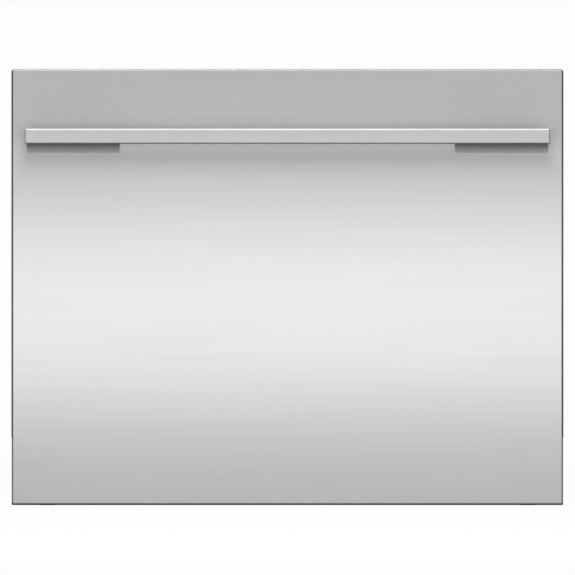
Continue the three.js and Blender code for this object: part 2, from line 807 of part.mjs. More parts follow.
/** Twist-out drain filter: a windowed cup with a collar and a grip bar. */
function drainFilter() {
  const at = [drainFilterX, tubCentreY, 0];
  const collarZ = [filterZ[1] + fitGap, filterZ[1] + fitGap + 2];
  const cup = join(rod("z", at, 22, 90, collarZ[1], 16), rod("z", at, 27, ...collarZ, 16));
  const windows = Array.from({ length: 6 }, (_, i) => {
    const window = new THREE.BoxGeometry(60, 8, 12).translate(0, 0, 99);
    return solid(window.rotateZ((i * Math.PI) / 6).translate(drainFilterX, tubCentreY, 0));
  });
  const grip = block(
    [drainFilterX - 2, drainFilterX + 2],
    [tubCentreY - 20, tubCentreY + 20],
    [106, collarZ[1] + 6],
  );
  return join(cut(cup, rod("z", at, 20, 92, collarZ[1] + 1, 16), windows.slice(0, 3)), grip);
}

/** Two-bladed spray arm with swept, tapered blades and raised jets. */
function sprayArm() {
  const blade = new THREE.Shape();
  blade.moveTo(14, -21);
  blade.quadraticCurveTo(90, -30, 150, -8);
  blade.quadraticCurveTo(175, 6, sprayRadius - 14, 6);
  blade.absarc(sprayRadius - 14, 18, 12, -Math.PI / 2, Math.PI / 2, false);
  blade.quadraticCurveTo(110, 30, 14, 21);
  blade.closePath();
  const crowned = {
    bevelEnabled: true,
    bevelThickness: 2,
    bevelSize: 2,
    bevelOffset: -2,
    bevelSegments: 1,
    curveSegments: 3,
  };
  const jetPlaces = [[60, -8], [105, -2], [150, 8], [184, 15]];
  const jets = jetPlaces.flatMap(([r, offset]) =>
    turned(2, () => {
      const jet = new THREE.CylinderGeometry(3, 5, 4, 5).rotateX(Math.PI / 2);
      return jet.translate(r, offset, 139.5);
    }),
  );
  const middle = [0, tubCentreY, 0];
  return cut(
    join(
      rod("z", middle, 25, 125, 142, 16),
      rod("z", middle, 17, 141, 147, 16),
      turned(2, () => extruded(blade, 8, crowned).translate(0, 0, 130)),
      jets,
    ),
    rod("z", middle, 15, 124, 140, 14),
  );
}

const dispenserFaceY = [tubFrontY + tubWall + fitGap, tubFrontY + tubWall + 3.7];

/** Detergent and rinse-aid dispenser, let into the tub's front wall. */
function detergentDispenser() {
  const { x, z, cupX, tankX, middleZ } = dispenser;
  const depth = [-240, dispenserFaceY[0] + 0.1];
  const body = join(
    block(x, dispenserFaceY, z),
    block([x[0] + 5, x[1] - 5], depth, [z[0] + 5, z[1] - 5]),
  );
  const cup = extrudeY(roundedRectangle(33, 31, 8, cupX, middleZ), -231, -200);
  return cut(body, cup, rod("y", [tankX, 0, middleZ], 14, -228, -200, 16));
}

const doorHinge = { y: -202.8, z: 313.2 };

/** Sprung door over the detergent cup, hinged at its lower edge. */
function dispenserDoor() {
  const { cupX } = dispenser;
  const half = 35.5;
  const y = [doorHinge.y - 1.4, doorHinge.y + 1.4];
  return join(
    extrudeY(roundedRectangle(half, half, 5, cupX, doorHinge.z + half - 0.7), ...y),
    rod("x", [0, doorHinge.y, doorHinge.z], 1.4, cupX - half - 4, cupX + half + 4, 8),
    block([cupX - 8, cupX + 8], [y[1] - 0.1, y[1] + 3], [372, 376]),
  );
}

/** Quarter-turn cap of the rinse-aid tank. */
function rinseAidCap() {
  const { tankX, middleZ } = dispenser;
  const at = [tankX, 0, middleZ];
  return join(
    rod("y", at, 19, dispenserFaceY[1] + fitGap, -201, 20),
    rod("y", at, 12.5, -214, dispenserFaceY[1] + 1, 12),
    block([tankX - 13, tankX + 13], [-201.1, -196], [middleZ - 2.5, middleZ + 2.5]),
  );
}

// ---------------------------------------------------------------- racks
const tineY = spread(tineCount, tinePitch, 53);
const clipY = [tubCentreY - 84, tubCentreY + 140]; // over two of the wires across the floor
const alongZ = rackFloor.z + 2 * wireRadius + fitGap;
const fixedTineZ = alongZ + wireRadius + tineRadius + fitGap;
const foldingTineZ = fixedTineZ + 2.4;

/** Nylon clip that a folding row turns in, standing on a floor wire. */
function tineClip(x, y) {
  const post = block([x - 5, x + 5], [y - 3, y + 3], [rackFloor.z, foldingTineZ + 5]);
  return cut(post, rod("y", [x, 0, foldingTineZ], tineRadius + 0.7, y - 4, y + 4, 8));
}

/** Wire basket: rims, a floor of crossing wires turned up at the sides, and cup rack frames. */
function baseRack() {
  const floorWire = (corners) => wire(corners, wireRadius, { bend: 14, steps: 1, sides: 5 });
  const across = spread(8, 56, tubCentreY).map((y) =>
    floorWire([
      [-rackRim.halfX, y, rackRim.z],
      [-rackFloor.halfX, y, rackFloor.z],
      [rackFloor.halfX, y, rackFloor.z],
      [rackRim.halfX, y, rackRim.z],
    ]),
  );
  const along = spread(7, 70).map((x) =>
    floorWire([
      [x, tubCentreY - rackRim.halfY, rackRim.z],
      [x, tubCentreY - rackFloor.halfY, alongZ],
      [x, tubCentreY + rackFloor.halfY, alongZ],
      [x, tubCentreY + rackRim.halfY, rackRim.z],
    ]),
  );
  const { halfX, halfY, z } = rackRim;
  const rim = hoop(polygon(2.8, 6), { halfX, halfY, corner: 40 }, z);
  const band = { halfX: halfX - 1, halfY: halfY - 1, corner: 39 };
  const sideFrames = [-1, 1].map((side) =>
    wire(
      [
        [side * halfX, -101, z],
        [side * cupHingeX, -101, cupHingeZ],
        [side * cupHingeX, 211, cupHingeZ],
        [side * halfX, 211, z],
      ],
      wireRadius,
      { bend: 8 },
    ),
  );
  const welds = [-1, 1].map((side) =>
    block(
      [side * 251 - 2.5, side * 251 + 2.5],
      [tubCentreY + 26.5, tubCentreY + 29.5],
      [203, 207],
    ),
  );
  const clips = foldingRows.flatMap((x) => clipY.map((y) => tineClip(x, y)));
  const middleRim = hoop(polygon(wireRadius, 6), band, 205);
  return join(across, along, rim, middleRim, welds, sideFrames, clips);
}

/** A row of upright tines on one base wire. */
function tineRow(x, z) {
  const base = wire([[x, clipY[0] - 5, z], [x, clipY[1] + 5, z]], tineRadius);
  const tines = tineY.map((y) => {
    const tine = new THREE.CylinderGeometry(tineRadius * 0.8, tineRadius, tineLength, 6);
    return solid(tine.rotateX(Math.PI / 2).translate(x, y, z + tineLength / 2));
  });
  return join(base, tines);
}

/** Fold-up cup shelf: a slotted tray with three hinge eyes on the rack's side frame. */
function cupRack() {
  const y = [-88, 198];
  const x = [cupHingeX - cupRackReach, cupHingeX - 6];
  const z = [cupHingeZ - 2, cupHingeZ + 2];
  const slots = spread(5, 55, 55).flatMap((at) =>
    [[8, 44], [54, 90]].map(([near, far]) =>
      block([x[0] + near, x[0] + far], [at - 21, at + 21], [z[0] - 1, z[1] + 1]),
    ),
  );
  const rails = [[x[0], 10], [x[0] + 47, 6]].map(([at, height]) =>
    block([at, at + 3], y, [z[0], cupHingeZ + height]),
  );
  const eyes = [-70, 55, 180].flatMap((at) => [
    rod("y", [cupHingeX, 0, cupHingeZ], 5, at - 7, at + 7, 8),
    block([x[1] - 1, cupHingeX - 3.5], [at - 7, at + 7], z),
  ]);
  const bore = rod("y", [cupHingeX, 0, cupHingeZ], 2.8, y[0] - 1, y[1] + 1, 8);
  return cut(join(cut(block(x, y, z), slots), rails, eyes), bore);
}

/** Cutlery basket: a tapered box with four cells, slotted walls and a carrying hoop. */
function cutleryBasket() {
  const [cx, cy] = [-130, -136];
  const z = [alongZ + wireRadius + fitGap, 272];
  const wall = 2.4;
  const place = { cx, cy, steps: 2 };
  const outer = loft([level(z[0], 88, 28, 10, place), level(z[1], 94, 33, 12, place)]);
  const cells = spread(4, 44.5, cx).map((x) => {
    const cell = { cx: x, cy, steps: 1 };
    return loft([
      level(z[0] + wall, 20.4, 28 - wall, 4, cell),
      level(z[1] + 1, 21, 33 - wall, 4, cell),
    ]);
  });
  const windows = spread(8, 22.2, cx).map((x) =>
    block([x - 5.5, x + 5.5], [cy - 40, cy + 40], [182, 246]),
  );
  const carrier = wire(
    [
      [cx - 46, cy, z[1] - 8],
      [cx - 40, cy, z[1] + 52],
      [cx + 40, cy, z[1] + 52],
      [cx + 46, cy, z[1] - 8],
    ],
    3.4,
    { bend: 24, steps: 3 },
  );
  const bridge = block([cx - 48, cx + 48], [cy - 1.2, cy + 1.2], [z[1] - 14, z[1]]);
  return join(cut(outer, cells, windows), carrier, bridge);
}

// ---------------------------------------------------------------- lid and its lift
const pinion = { y: 20, z: 452, x: [283.5, 289.5], bore: 2.5 };
const liftRack = { x: [283.3, 289.7], back: pinion.y - pitchRadius - 6 };

/** Ribbed lid that hangs over the tub, with a flat sealing face. */
function lid() {
  const size = [lidHalfX, lidHalfY, lidCorner];
  const ringAt = (z, inset) => level(z, ...size.map((value) => value - inset));
  const shell = cut(
    loft([ringAt(lidBottom, 0), ringAt(lidBottom + 3, 0), ringAt(lidTop, 1)]),
    loft([ringAt(lidBottom + 3, 3), ringAt(lidTop + 1, 3.5)]),
  );
  const ribZ = [lidBottom + 2, lidTop - 2];
  const ribs = spread(9, 56).map((x) => {
    const halfY = Math.abs(x) > 200 ? lidHalfY - 20 : lidHalfY - 2;
    return block([x - 1.2, x + 1.2], [tubCentreY - halfY, tubCentreY + halfY], ribZ);
  });
  return join(shell, ribs);
}

/** Toothed rack on the lid's side, with its teeth to the rear. */
function lidRack() {
  const pitch = Math.PI * gearModule;
  const pitchY = pinion.y - pitchRadius;
  const z = [pinion.z - 7, 467.2];
  const [root, tip] = [-1.25, 0.85];
  const slope = Math.tan(THREE.MathUtils.degToRad(20));
  const half = pitch / 4 - 0.14;
  const points = [[liftRack.back, z[0]], [pitchY + root, z[0]]];
  for (let k = -2; pinion.z + (k + 1) * pitch < z[1]; k++) {
    const middle = pinion.z + (k + 0.5) * pitch;
    points.push([pitchY + root, middle - half + root * slope]);
    points.push([pitchY + tip, middle - half + tip * slope]);
    points.push([pitchY + tip, middle + half - tip * slope]);
    points.push([pitchY + root, middle + half - root * slope]);
  }
  points.push([pitchY + root, z[1]], [liftRack.back, z[1]]);
  const arm = block(
    [lidHalfX + fitGap, liftRack.x[0] + 0.1],
    [liftRack.back, pitchY - 1.5],
    [lidBottom + 4, lidTop - 1],
  );
  return join(extrudeX(outline(points), ...liftRack.x), arm);
}

/** Involute pinion with its bore, one tooth pointing at the rack. */
function lidPinion() {
  const baseRadius = pitchRadius * Math.cos(THREE.MathUtils.degToRad(20));
  const tip = pitchRadius + 0.9 * gearModule;
  const root = pitchRadius - 1.2 * gearModule;
  const involute = (r) => {
    const t = Math.sqrt(Math.max((r / baseRadius) ** 2 - 1, 0));
    return t - Math.atan(t);
  };
  const halfTooth = Math.PI / (2 * pinionTeeth) - 0.1 / pitchRadius;
  const halfAt = (r) => halfTooth + involute(pitchRadius) - involute(Math.max(r, baseRadius));
  const flank = [root, pitchRadius, tip];
  const points = Array.from({ length: pinionTeeth }, (_, i) => {
    const centre = Math.PI + (i * 2 * Math.PI) / pinionTeeth;
    const at = (r, angle) => [pinion.y + r * Math.cos(angle), pinion.z + r * Math.sin(angle)];
    return [
      ...flank.map((r) => at(r, centre - halfAt(r))),
      ...flank.toReversed().map((r) => at(r, centre + halfAt(r))),
    ];
  });
  const wheel = extrudeX(outline(points.flat()), ...pinion.x);
  const through = [pinion.x[0] - 1, pinion.x[1] + 1];
  return cut(wheel, rod("x", [0, pinion.y, pinion.z], pinion.bore, ...through, 12));
}

/** Lid actuator: gearbox and motor, with the cheek and axle that carry the pinion. */
function lidActuator() {
  const back = sideInnerX - fitGap;
  const z = [440, 466];
  return join(
    block([liftRack.x[1] + fitGap, back], [8, 44], z),
    rod("x", [0, pinion.y, pinion.z], pinion.bore - 0.5, pinion.x[0] - 1, pinion.x[1] + 1, 10),
    block([liftRack.x[0], back], [32, 78], z),
    rod("y", [289, 0, 453], 7, 77, 112, 14),
  );
}

// ---------------------------------------------------------------- hoses to the drawer
/** A round hose on one smooth curve. */
function hose(points, radius) {
  const path = new THREE.CatmullRomCurve3(points.map((p) => new THREE.Vector3(...p)));
  const section = outline(polygon(radius, 7));
  return solid(extruded(section, 0, { steps: 32, extrudePath: path }));
}

const floorHoseZ = 19;

/** From the drain outlet forward, round a loop that feeds the drawer, and back up to the sump. */
const drainRoute = [
  [176, trayInsideY - 11, 40], [176, 228, 38], [176, 188, 27], [176, 145, floorHoseZ + 1],
  [176, 88, floorHoseZ], [153, 3, floorHoseZ], [91, -59, floorHoseZ], [6, -82, floorHoseZ],
  [-79, -59, floorHoseZ], [-141, 3, floorHoseZ], [-164, 88, floorHoseZ], [-164, 140, floorHoseZ],
  [-164, 186, floorHoseZ], [-157, 218, 24], [-138, 241, 38], [-112, 250, 56.5],
  [-86, 241, 75], [-67, 218, 89], [-60, spigotEndY + 4, spigotZ], [-60, spigotEndY + 1, spigotZ],
];

/** The same for the water supply, around the outside of the drain hose. */
const supplyRoute = [
  [236, trayInsideY - 47, 40], [236, 200, 39], [236, 165, 29], [236, 125, floorHoseZ + 1],
  [236, 60, floorHoseZ], [207, -49, floorHoseZ], [127, -129, floorHoseZ], [18, -158, floorHoseZ],
  [-91, -129, floorHoseZ], [-171, -49, floorHoseZ], [-200, 60, floorHoseZ], [-200, 130, floorHoseZ],
  [-200, 186, floorHoseZ], [-194, 216, 24], [-176, 239, 38], [-152, 247, 56.5],
  [-128, 239, 75], [-110, 216, 89], [-104, spigotEndY + 4, spigotZ], [-104, spigotEndY + 1, spigotZ],
];

// ---------------------------------------------------------------- the model
piece("base_tray", baseTray(), galvanised);
pair("side_panel", sidePanel(), galvanised);
piece("rear_panel", rearPanel(), galvanised);
piece("top_panel", topPanel(), galvanised);
piece("edge_trim", edgeTrim(), blackRubber);
pair("foot_rail", footRail(), blackRubber);
piece("water_valve", waterValve(connectors.water), whitePlastic);
piece("drain_outlet", drainOutlet(connectors.drain), greyNylon);
piece("power_inlet", powerInlet(connectors.power), blackPlastic);
pair("runner_outer", runnerOuter(), zincSteel);
pair("runner_middle", runnerMiddle(), zincSteel);
pair("runner_inner", runnerInner(), zincSteel);
pair("runner_bracket", runnerBracket(), galvanised);
piece("front_skin", frontSkin(), brushedSteel);
piece("front_core", frontCore(), blackPlastic);
piece("front_box", frontBox(), whitePlastic);
piece("control_console", controlConsole(), blackPlastic);
Object.entries(buttonX).forEach(([name, x]) => piece(name + "_button", button(x), buttonPlastic));
piece("indicator_lens", indicatorLens(), lensPlastic);
piece("controller_module", controllerModule(), darkNylon);
piece("handle_bar", handleBar(), brushedSteel);
pair("handle_foot", handleFoot(), brushedSteel);
piece("tub", tub(), tubPlastic);
piece("tub_seal", tubSeal(), blackRubber);
piece("wash_motor", washMotor(), motorCasing);
piece("wash_rotor", washRotor(), darkNylon);
piece("heater_ring", heaterRing(), zincSteel);
piece("filter_plate", filterPlate(), greyNylon);
piece("drain_filter", drainFilter(), darkNylon);
piece("spray_arm", sprayArm(), greyNylon);
piece("detergent_dispenser", detergentDispenser(), greyNylon);
piece("dispenser_door", dispenserDoor(), darkNylon);
piece("rinse_aid_cap", rinseAidCap(), darkNylon);
piece("base_rack", baseRack(), greyNylon);
foldingRows.forEach((x, i) => piece(`folding_tines_${i + 1}`, tineRow(x, foldingTineZ), greyNylon));
fixedRows.forEach((x, i) => piece(`fixed_tines_${i + 1}`, tineRow(x, fixedTineZ), greyNylon));
pair("cup_rack", cupRack(), greyNylon);
piece("cutlery_basket", cutleryBasket(), darkNylon);
piece("lid", lid(), greyPlastic);
pair("lid_rack", lidRack(), whitePlastic);
pair("lid_pinion", lidPinion(), whitePlastic);
pair("lid_actuator", lidActuator(), blackPlastic);
piece("drain_hose", hose(drainRoute, 8), hoseRubber);
piece("supply_hose", hose(supplyRoute, 6), blackRubber);

export default model;
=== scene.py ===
import math

import bpy
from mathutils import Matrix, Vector


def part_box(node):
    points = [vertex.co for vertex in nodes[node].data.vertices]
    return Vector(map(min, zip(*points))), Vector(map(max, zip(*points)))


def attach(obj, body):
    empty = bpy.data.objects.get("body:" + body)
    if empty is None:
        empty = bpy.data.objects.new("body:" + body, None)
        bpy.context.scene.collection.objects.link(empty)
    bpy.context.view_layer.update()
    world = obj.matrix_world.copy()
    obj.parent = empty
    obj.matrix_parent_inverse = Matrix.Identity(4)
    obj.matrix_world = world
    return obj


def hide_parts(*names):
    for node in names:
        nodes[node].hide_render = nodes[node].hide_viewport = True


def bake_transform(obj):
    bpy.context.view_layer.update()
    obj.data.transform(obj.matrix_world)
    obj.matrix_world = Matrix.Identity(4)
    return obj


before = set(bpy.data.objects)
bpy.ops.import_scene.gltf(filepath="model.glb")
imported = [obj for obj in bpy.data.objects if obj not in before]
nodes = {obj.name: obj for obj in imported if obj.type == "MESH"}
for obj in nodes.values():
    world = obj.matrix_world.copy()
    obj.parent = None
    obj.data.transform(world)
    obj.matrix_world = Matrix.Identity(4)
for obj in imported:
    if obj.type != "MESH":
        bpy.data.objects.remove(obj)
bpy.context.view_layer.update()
scene = bpy.context.scene
mm = 0.001  # the object's own measures are in millimetres
print("frame loaded:", len(nodes), "nodes")

# straight on and from far away, so the picture is almost a flat projection
camera = {
    "frameWidth": 0.6222,  # what the picture's width shows at the front panel, in metres
    "focus": (0.0001, -0.2655, 0.2361),
    "lens": 1000.0,
    "sensor": 36.0,
    "reach": 200.0,
}


def placeCamera(look):
    cameraData = bpy.data.cameras.new("studioCamera")
    cameraData.lens = look["lens"]
    cameraData.sensor_width = look["sensor"]
    cameraData.clip_end = look["reach"]
    cameraObject = bpy.data.objects.new("studioCamera", cameraData)
    scene.collection.objects.link(cameraObject)
    distance = look["frameWidth"] * look["lens"] / look["sensor"]
    cameraObject.location = Vector(look["focus"]) - Vector((0, distance, 0))
    cameraObject.rotation_euler = (math.pi / 2, 0, 0)
    scene.camera = cameraObject
    scene.view_settings.view_transform = "Standard"


placeCamera(camera)
print("camera placed")

# small helpers for node materials


def startMaterial(name):
    material = bpy.data.materials.new(name)
    material.use_nodes = True
    return material, material.node_tree, material.node_tree.nodes["Principled BSDF"]


def addNode(tree, kind, inputs=None, **settings):
    node = tree.nodes.new(kind)
    for key, value in settings.items():
        setattr(node, key, value)
    for key, value in (inputs or {}).items():
        socket = node.inputs[key]
        if isinstance(value, bpy.types.NodeSocket):
            tree.links.new(value, socket)
        else:
            socket.default_value = value
    return node


def calculate(tree, operation, a, b=0.0):
    return addNode(tree, "ShaderNodeMath", {0: a, 1: b}, operation=operation).outputs[0]


def objectCoordinates(tree, stretch=(1, 1, 1)):
    place = addNode(tree, "ShaderNodeTexCoord").outputs["Object"]
    return addNode(tree, "ShaderNodeMapping", {"Vector": place, "Scale": stretch}).outputs["Vector"]


def noise(tree, vector, scale, detail=3.0, roughness=0.55):
    inputs = {"Vector": vector, "Scale": scale, "Detail": detail, "Roughness": roughness}
    return addNode(tree, "ShaderNodeTexNoise", inputs).outputs["Fac"]


def remap(tree, value, low, high, fromLow=0.3, fromHigh=0.7):
    # noise lies mostly between 0.3 and 0.7
    inputs = {
        "Value": value,
        "From Min": fromLow,
        "From Max": fromHigh,
        "To Min": low,
        "To Max": high,
    }
    return addNode(tree, "ShaderNodeMapRange", inputs).outputs["Result"]


def mixColours(tree, factor, a, b):
    # a Mix node's colours are its inputs 6 and 7, and its output 2
    node = addNode(tree, "ShaderNodeMix", data_type="RGBA")
    tree.links.new(factor, node.inputs["Factor"])
    for index, value in ((6, a), (7, b)):
        if isinstance(value, bpy.types.NodeSocket):
            tree.links.new(value, node.inputs[index])
        else:
            node.inputs[index].default_value = (*value, 1)
    return node.outputs[2]


def bump(tree, height, strength, depth):
    inputs = {"Height": height, "Strength": strength, "Distance": depth}
    return addNode(tree, "ShaderNodeBump", inputs).outputs["Normal"]


def tint(colour, factor):
    return tuple(min(1.0, part * factor) for part in colour)


brushedSteel = {
    "colour": (0.485, 0.485, 0.485),
    "colourSpread": 0.037,
    "edge": "sides",  # the folded sides take a painted shade, darker as they turn from the front
    "paintedEdgeShade": (0.27, 0.27, 0.27),
    "edgeRoughness": 0.6,
    "metallic": 0.35,
    "roughness": (0.275, 0.295),
    "anisotropy": 0.8,
    "grain": (5.0, 850.0, 850.0),  # stretched along the width
    "broadGrain": (9.0, 420.0, 420.0),
    "bump": 0.008,
    "bumpDepth": 0.0002,
}

handleSteel = dict(
    brushedSteel,
    colour=(0.49, 0.49, 0.495),
    metallic=0.55,
    # painted shade: the bar's lower chamfer and its end chamfers take the dark colour
    edge="bar",
    paintedEdgeShade=(0.10, 0.10, 0.10),
    edgeRoughness=0.3,
)

# how far a face's normal leans where the painted shade on edges begins and is full
paintedShadeLeans = {
    "sides": (-0.9, -0.7),  # away from the front, on the panel's folded sides
    "chamfer": (-0.65, -0.5),  # down, on the bar's lower chamfer
    "underside": (-0.99, -0.97),  # straight down, where the painted shade ends again
    "endChamfer": (0.5, 0.65),  # sideways, on the chamfers of the bar's ends
    "end": (0.97, 0.99),
    "endShare": 0.6,
}


# painted shade: how much of the dark edge colour a face takes from the way it faces, standing in for
# shade on folded sides and chamfers
def paintedShadeShare(tree, kind):
    facing = addNode(tree, "ShaderNodeNewGeometry").outputs["True Normal"]
    parts = addNode(tree, "ShaderNodeSeparateXYZ", {"Vector": facing}).outputs
    if kind == "sides":
        return remap(tree, parts["Y"], 0, 1, *paintedShadeLeans["sides"])
    leaning = remap(tree, parts["Z"], 1, 0, *paintedShadeLeans["chamfer"])
    notUnder = remap(tree, parts["Z"], 0, 1, *paintedShadeLeans["underside"])
    lower = calculate(tree, "MULTIPLY", leaning, notUnder)
    sideways = calculate(tree, "ABSOLUTE", parts["X"])
    turned = remap(tree, sideways, 0, paintedShadeLeans["endShare"], *paintedShadeLeans["endChamfer"])
    notEnd = remap(tree, sideways, 1, 0, *paintedShadeLeans["end"])
    return calculate(tree, "MAXIMUM", lower, calculate(tree, "MULTIPLY", turned, notEnd))


def makeBrushedSteel(name, look):
    material, tree, shader = startMaterial(name)
    fine = noise(tree, objectCoordinates(tree, look["grain"]), 1.0, detail=4.0, roughness=0.7)
    broad = noise(tree, objectCoordinates(tree, look["broadGrain"]), 1.0, detail=2.0, roughness=0.5)
    spread = look["colourSpread"]
    dark, light = tint(look["colour"], 1 - spread), tint(look["colour"], 1 + spread)
    edge = paintedShadeShare(tree, look["edge"])
    colour = mixColours(tree, remap(tree, fine, 0, 1), dark, light)
    # painted shade on the edges that turn away from the light
    colour = mixColours(tree, edge, colour, look["paintedEdgeShade"])
    tree.links.new(colour, shader.inputs["Base Color"])
    edgeRoughness = calculate(tree, "MULTIPLY", edge, look["edgeRoughness"])
    roughness = calculate(tree, "MAXIMUM", remap(tree, broad, *look["roughness"]), edgeRoughness)
    tree.links.new(roughness, shader.inputs["Roughness"])
    tree.links.new(bump(tree, fine, look["bump"], look["bumpDepth"]), shader.inputs["Normal"])
    along = addNode(tree, "ShaderNodeCombineXYZ", {"X": 1.0})
    tree.links.new(along.outputs["Vector"], shader.inputs["Tangent"])
    shader.inputs["Metallic"].default_value = look["metallic"]
    shader.inputs["Anisotropic"].default_value = look["anisotropy"]
    return material


galvanised = {
    "dark": (0.40, 0.415, 0.425),
    "light": (0.50, 0.515, 0.525),
    "spangle": 240.0,
    "wobble": 30.0,
    "shades": (0.05, 0.6),
    "roughness": (0.42, 0.56),
    "bump": 0.05,
    "bumpDepth": 0.0003,
    "metallic": 0.7,
}


def makeGalvanised(name, look):
    material, tree, shader = startMaterial(name)
    vector = objectCoordinates(tree)
    flakes = addNode(tree, "ShaderNodeTexVoronoi", {"Vector": vector, "Scale": look["spangle"]})
    shade = addNode(tree, "ShaderNodeSeparateColor", {"Color": flakes.outputs["Color"]}).outputs
    mixed = calculate(tree, "MULTIPLY", shade["Red"], noise(tree, vector, look["wobble"]))
    blend = remap(tree, mixed, 0, 1, *look["shades"])
    tree.links.new(mixColours(tree, blend, look["dark"], look["light"]), shader.inputs["Base Color"])
    roughness = remap(tree, shade["Green"], *look["roughness"], 0, 1)
    tree.links.new(roughness, shader.inputs["Roughness"])
    tree.links.new(bump(tree, mixed, look["bump"], look["bumpDepth"]), shader.inputs["Normal"])
    shader.inputs["Metallic"].default_value = look["metallic"]
    return material


zincPlated = {
    "colour": (0.60, 0.62, 0.63),
    "shades": (0.9, 1.08),
    "cloud": 25.0,
    "grain": (40, 6, 40),
    "grainScale": 6.0,
    "roughness": (0.24, 0.42),
    "bump": 0.08,
    "bumpDepth": 0.0002,
}


def makeZincPlated(name, look):
    material, tree, shader = startMaterial(name)
    drawn = noise(tree, objectCoordinates(tree, look["grain"]), look["grainScale"], detail=4.0)
    cloud = noise(tree, objectCoordinates(tree), look["cloud"])
    dark, light = (tint(look["colour"], shade) for shade in look["shades"])
    colour = mixColours(tree, remap(tree, cloud, 0, 1), dark, light)
    tree.links.new(colour, shader.inputs["Base Color"])
    tree.links.new(remap(tree, drawn, *look["roughness"]), shader.inputs["Roughness"])
    tree.links.new(bump(tree, drawn, look["bump"], look["bumpDepth"]), shader.inputs["Normal"])
    shader.inputs["Metallic"].default_value = 1.0
    return material


# what a plastic is where its own row below doesn't say
commonPlastic = {
    "cloud": 14.0,
    "grain": 900.0,
    "spread": 0.05,
    "patches": (0.1, 0.45),  # where cloud times grain lies
    "bump": 0.1,
    "bumpDepth": 0.0002,
    "metallic": 0.0,
    "coat": 0.0,
    "coatRoughness": 0.08,
}

plastics = {
    "blackPlastic": {"colour": (0.022, 0.022, 0.024), "roughness": (0.42, 0.6), "bump": 0.18},
    "blackRubber": {
        "colour": (0.018, 0.018, 0.019),
        "roughness": (0.7, 0.9),
        "grain": 500.0,
        "bump": 0.3,
    },
    "tubPlastic": {"colour": (0.60, 0.63, 0.64), "roughness": (0.32, 0.46), "cloud": 6.0},
    "lidPlastic": {"colour": (0.47, 0.49, 0.5), "roughness": (0.4, 0.55), "cloud": 8.0},
    "greyNylon": {"colour": (0.26, 0.28, 0.30), "roughness": (0.34, 0.5)},
    "darkNylon": {"colour": (0.065, 0.075, 0.083), "roughness": (0.36, 0.55)},
    "coatedWire": {
        "colour": (0.27, 0.29, 0.31),
        "roughness": (0.22, 0.34),
        "grain": 260.0,
        "bump": 0.12,
        "coat": 0.3,
    },
    "whitePlastic": {"colour": (0.72, 0.72, 0.69), "roughness": (0.34, 0.5)},
    "motorCasing": {
        "colour": (0.05, 0.055, 0.06),
        "roughness": (0.4, 0.62),
        "grain": 420.0,
        "bump": 0.35,
        "metallic": 0.4,
    },
    "buttonPlastic": {
        "colour": (0.36, 0.37, 0.38),
        "roughness": (0.26, 0.36),
        "metallic": 0.5,
        "bump": 0.06,
    },
    "displayLens": {
        "colour": (0.016, 0.018, 0.021),
        "roughness": (0.06, 0.12),
        "bump": 0.01,
        "coat": 1.0,
    },
    "symbolPaint": {"colour": (0.7, 0.71, 0.72), "roughness": (0.4, 0.55), "bump": 0.05},
    "footPlastic": {"colour": (0.17, 0.17, 0.175), "roughness": (0.5, 0.66), "bump": 0.12},
}


def makePlastic(name, ownLook):
    look = {**commonPlastic, **ownLook}
    material, tree, shader = startMaterial(name)
    vector = objectCoordinates(tree)
    cloud = noise(tree, vector, look["cloud"])
    grain = noise(tree, vector, look["grain"], detail=2.0)
    dark, light = tint(look["colour"], 1 - look["spread"]), tint(look["colour"], 1 + look["spread"])
    colour = mixColours(tree, remap(tree, cloud, 0, 1), dark, light)
    tree.links.new(colour, shader.inputs["Base Color"])
    mixed = calculate(tree, "MULTIPLY", cloud, grain)
    roughness = remap(tree, mixed, *look["roughness"], *look["patches"])
    tree.links.new(roughness, shader.inputs["Roughness"])
    tree.links.new(bump(tree, grain, look["bump"], look["bumpDepth"]), shader.inputs["Normal"])
    shader.inputs["Metallic"].default_value = look["metallic"]
    shader.inputs["Coat Weight"].default_value = look["coat"]
    shader.inputs["Coat Roughness"].default_value = look["coatRoughness"]
    return material


materials = {name: makePlastic(name, look) for name, look in plastics.items()}
materials["brushedSteel"] = makeBrushedSteel("brushedSteel", brushedSteel)
materials["handleSteel"] = makeBrushedSteel("handleSteel", handleSteel)
materials["galvanised"] = makeGalvanised("galvanised", galvanised)
materials["zincPlated"] = makeZincPlated("zincPlated", zincPlated)
print("materials made:", len(materials))

# edges sharper than the angle stay crisp, rounder faces shade smooth
smoothing = {"angle": 40.0, "wireAngle": 75.0, "weld": 1e-5}


def makeSmoothingTree():
    tree = bpy.data.node_groups.new("softShading", "GeometryNodeTree")
    tree.interface.new_socket("Geometry", in_out="INPUT", socket_type="NodeSocketGeometry")
    angle = tree.interface.new_socket("Angle", in_out="INPUT", socket_type="NodeSocketFloat")
    tree.interface.new_socket("Geometry", in_out="OUTPUT", socket_type="NodeSocketGeometry")
    source = tree.nodes.new("NodeGroupInput").outputs
    result = tree.nodes.new("NodeGroupOutput")
    welding = {"Geometry": source[0], "Distance": smoothing["weld"]}
    weld = addNode(tree, "GeometryNodeMergeByDistance", welding)
    shading = {0: weld.outputs[0], "Shade Smooth": True}
    faces = addNode(tree, "GeometryNodeSetShadeSmooth", shading, domain="FACE")
    turn = tree.nodes.new("GeometryNodeInputMeshEdgeAngle")
    limits = {0: turn.outputs[0], 1: source[1]}
    soft = addNode(tree, "FunctionNodeCompare", limits, operation="LESS_THAN")
    shading = {0: faces.outputs[0], "Shade Smooth": soft.outputs[0]}
    edges = addNode(tree, "GeometryNodeSetShadeSmooth", shading, domain="EDGE")
    tree.links.new(edges.outputs[0], result.inputs[0])
    return tree, angle.identifier


smoothingTree, angleInput = makeSmoothingTree()


def smoothNode(piece, degrees):
    modifier = piece.modifiers.new("softShading", "NODES")
    modifier.node_group = smoothingTree
    modifier[angleInput] = math.radians(degrees)


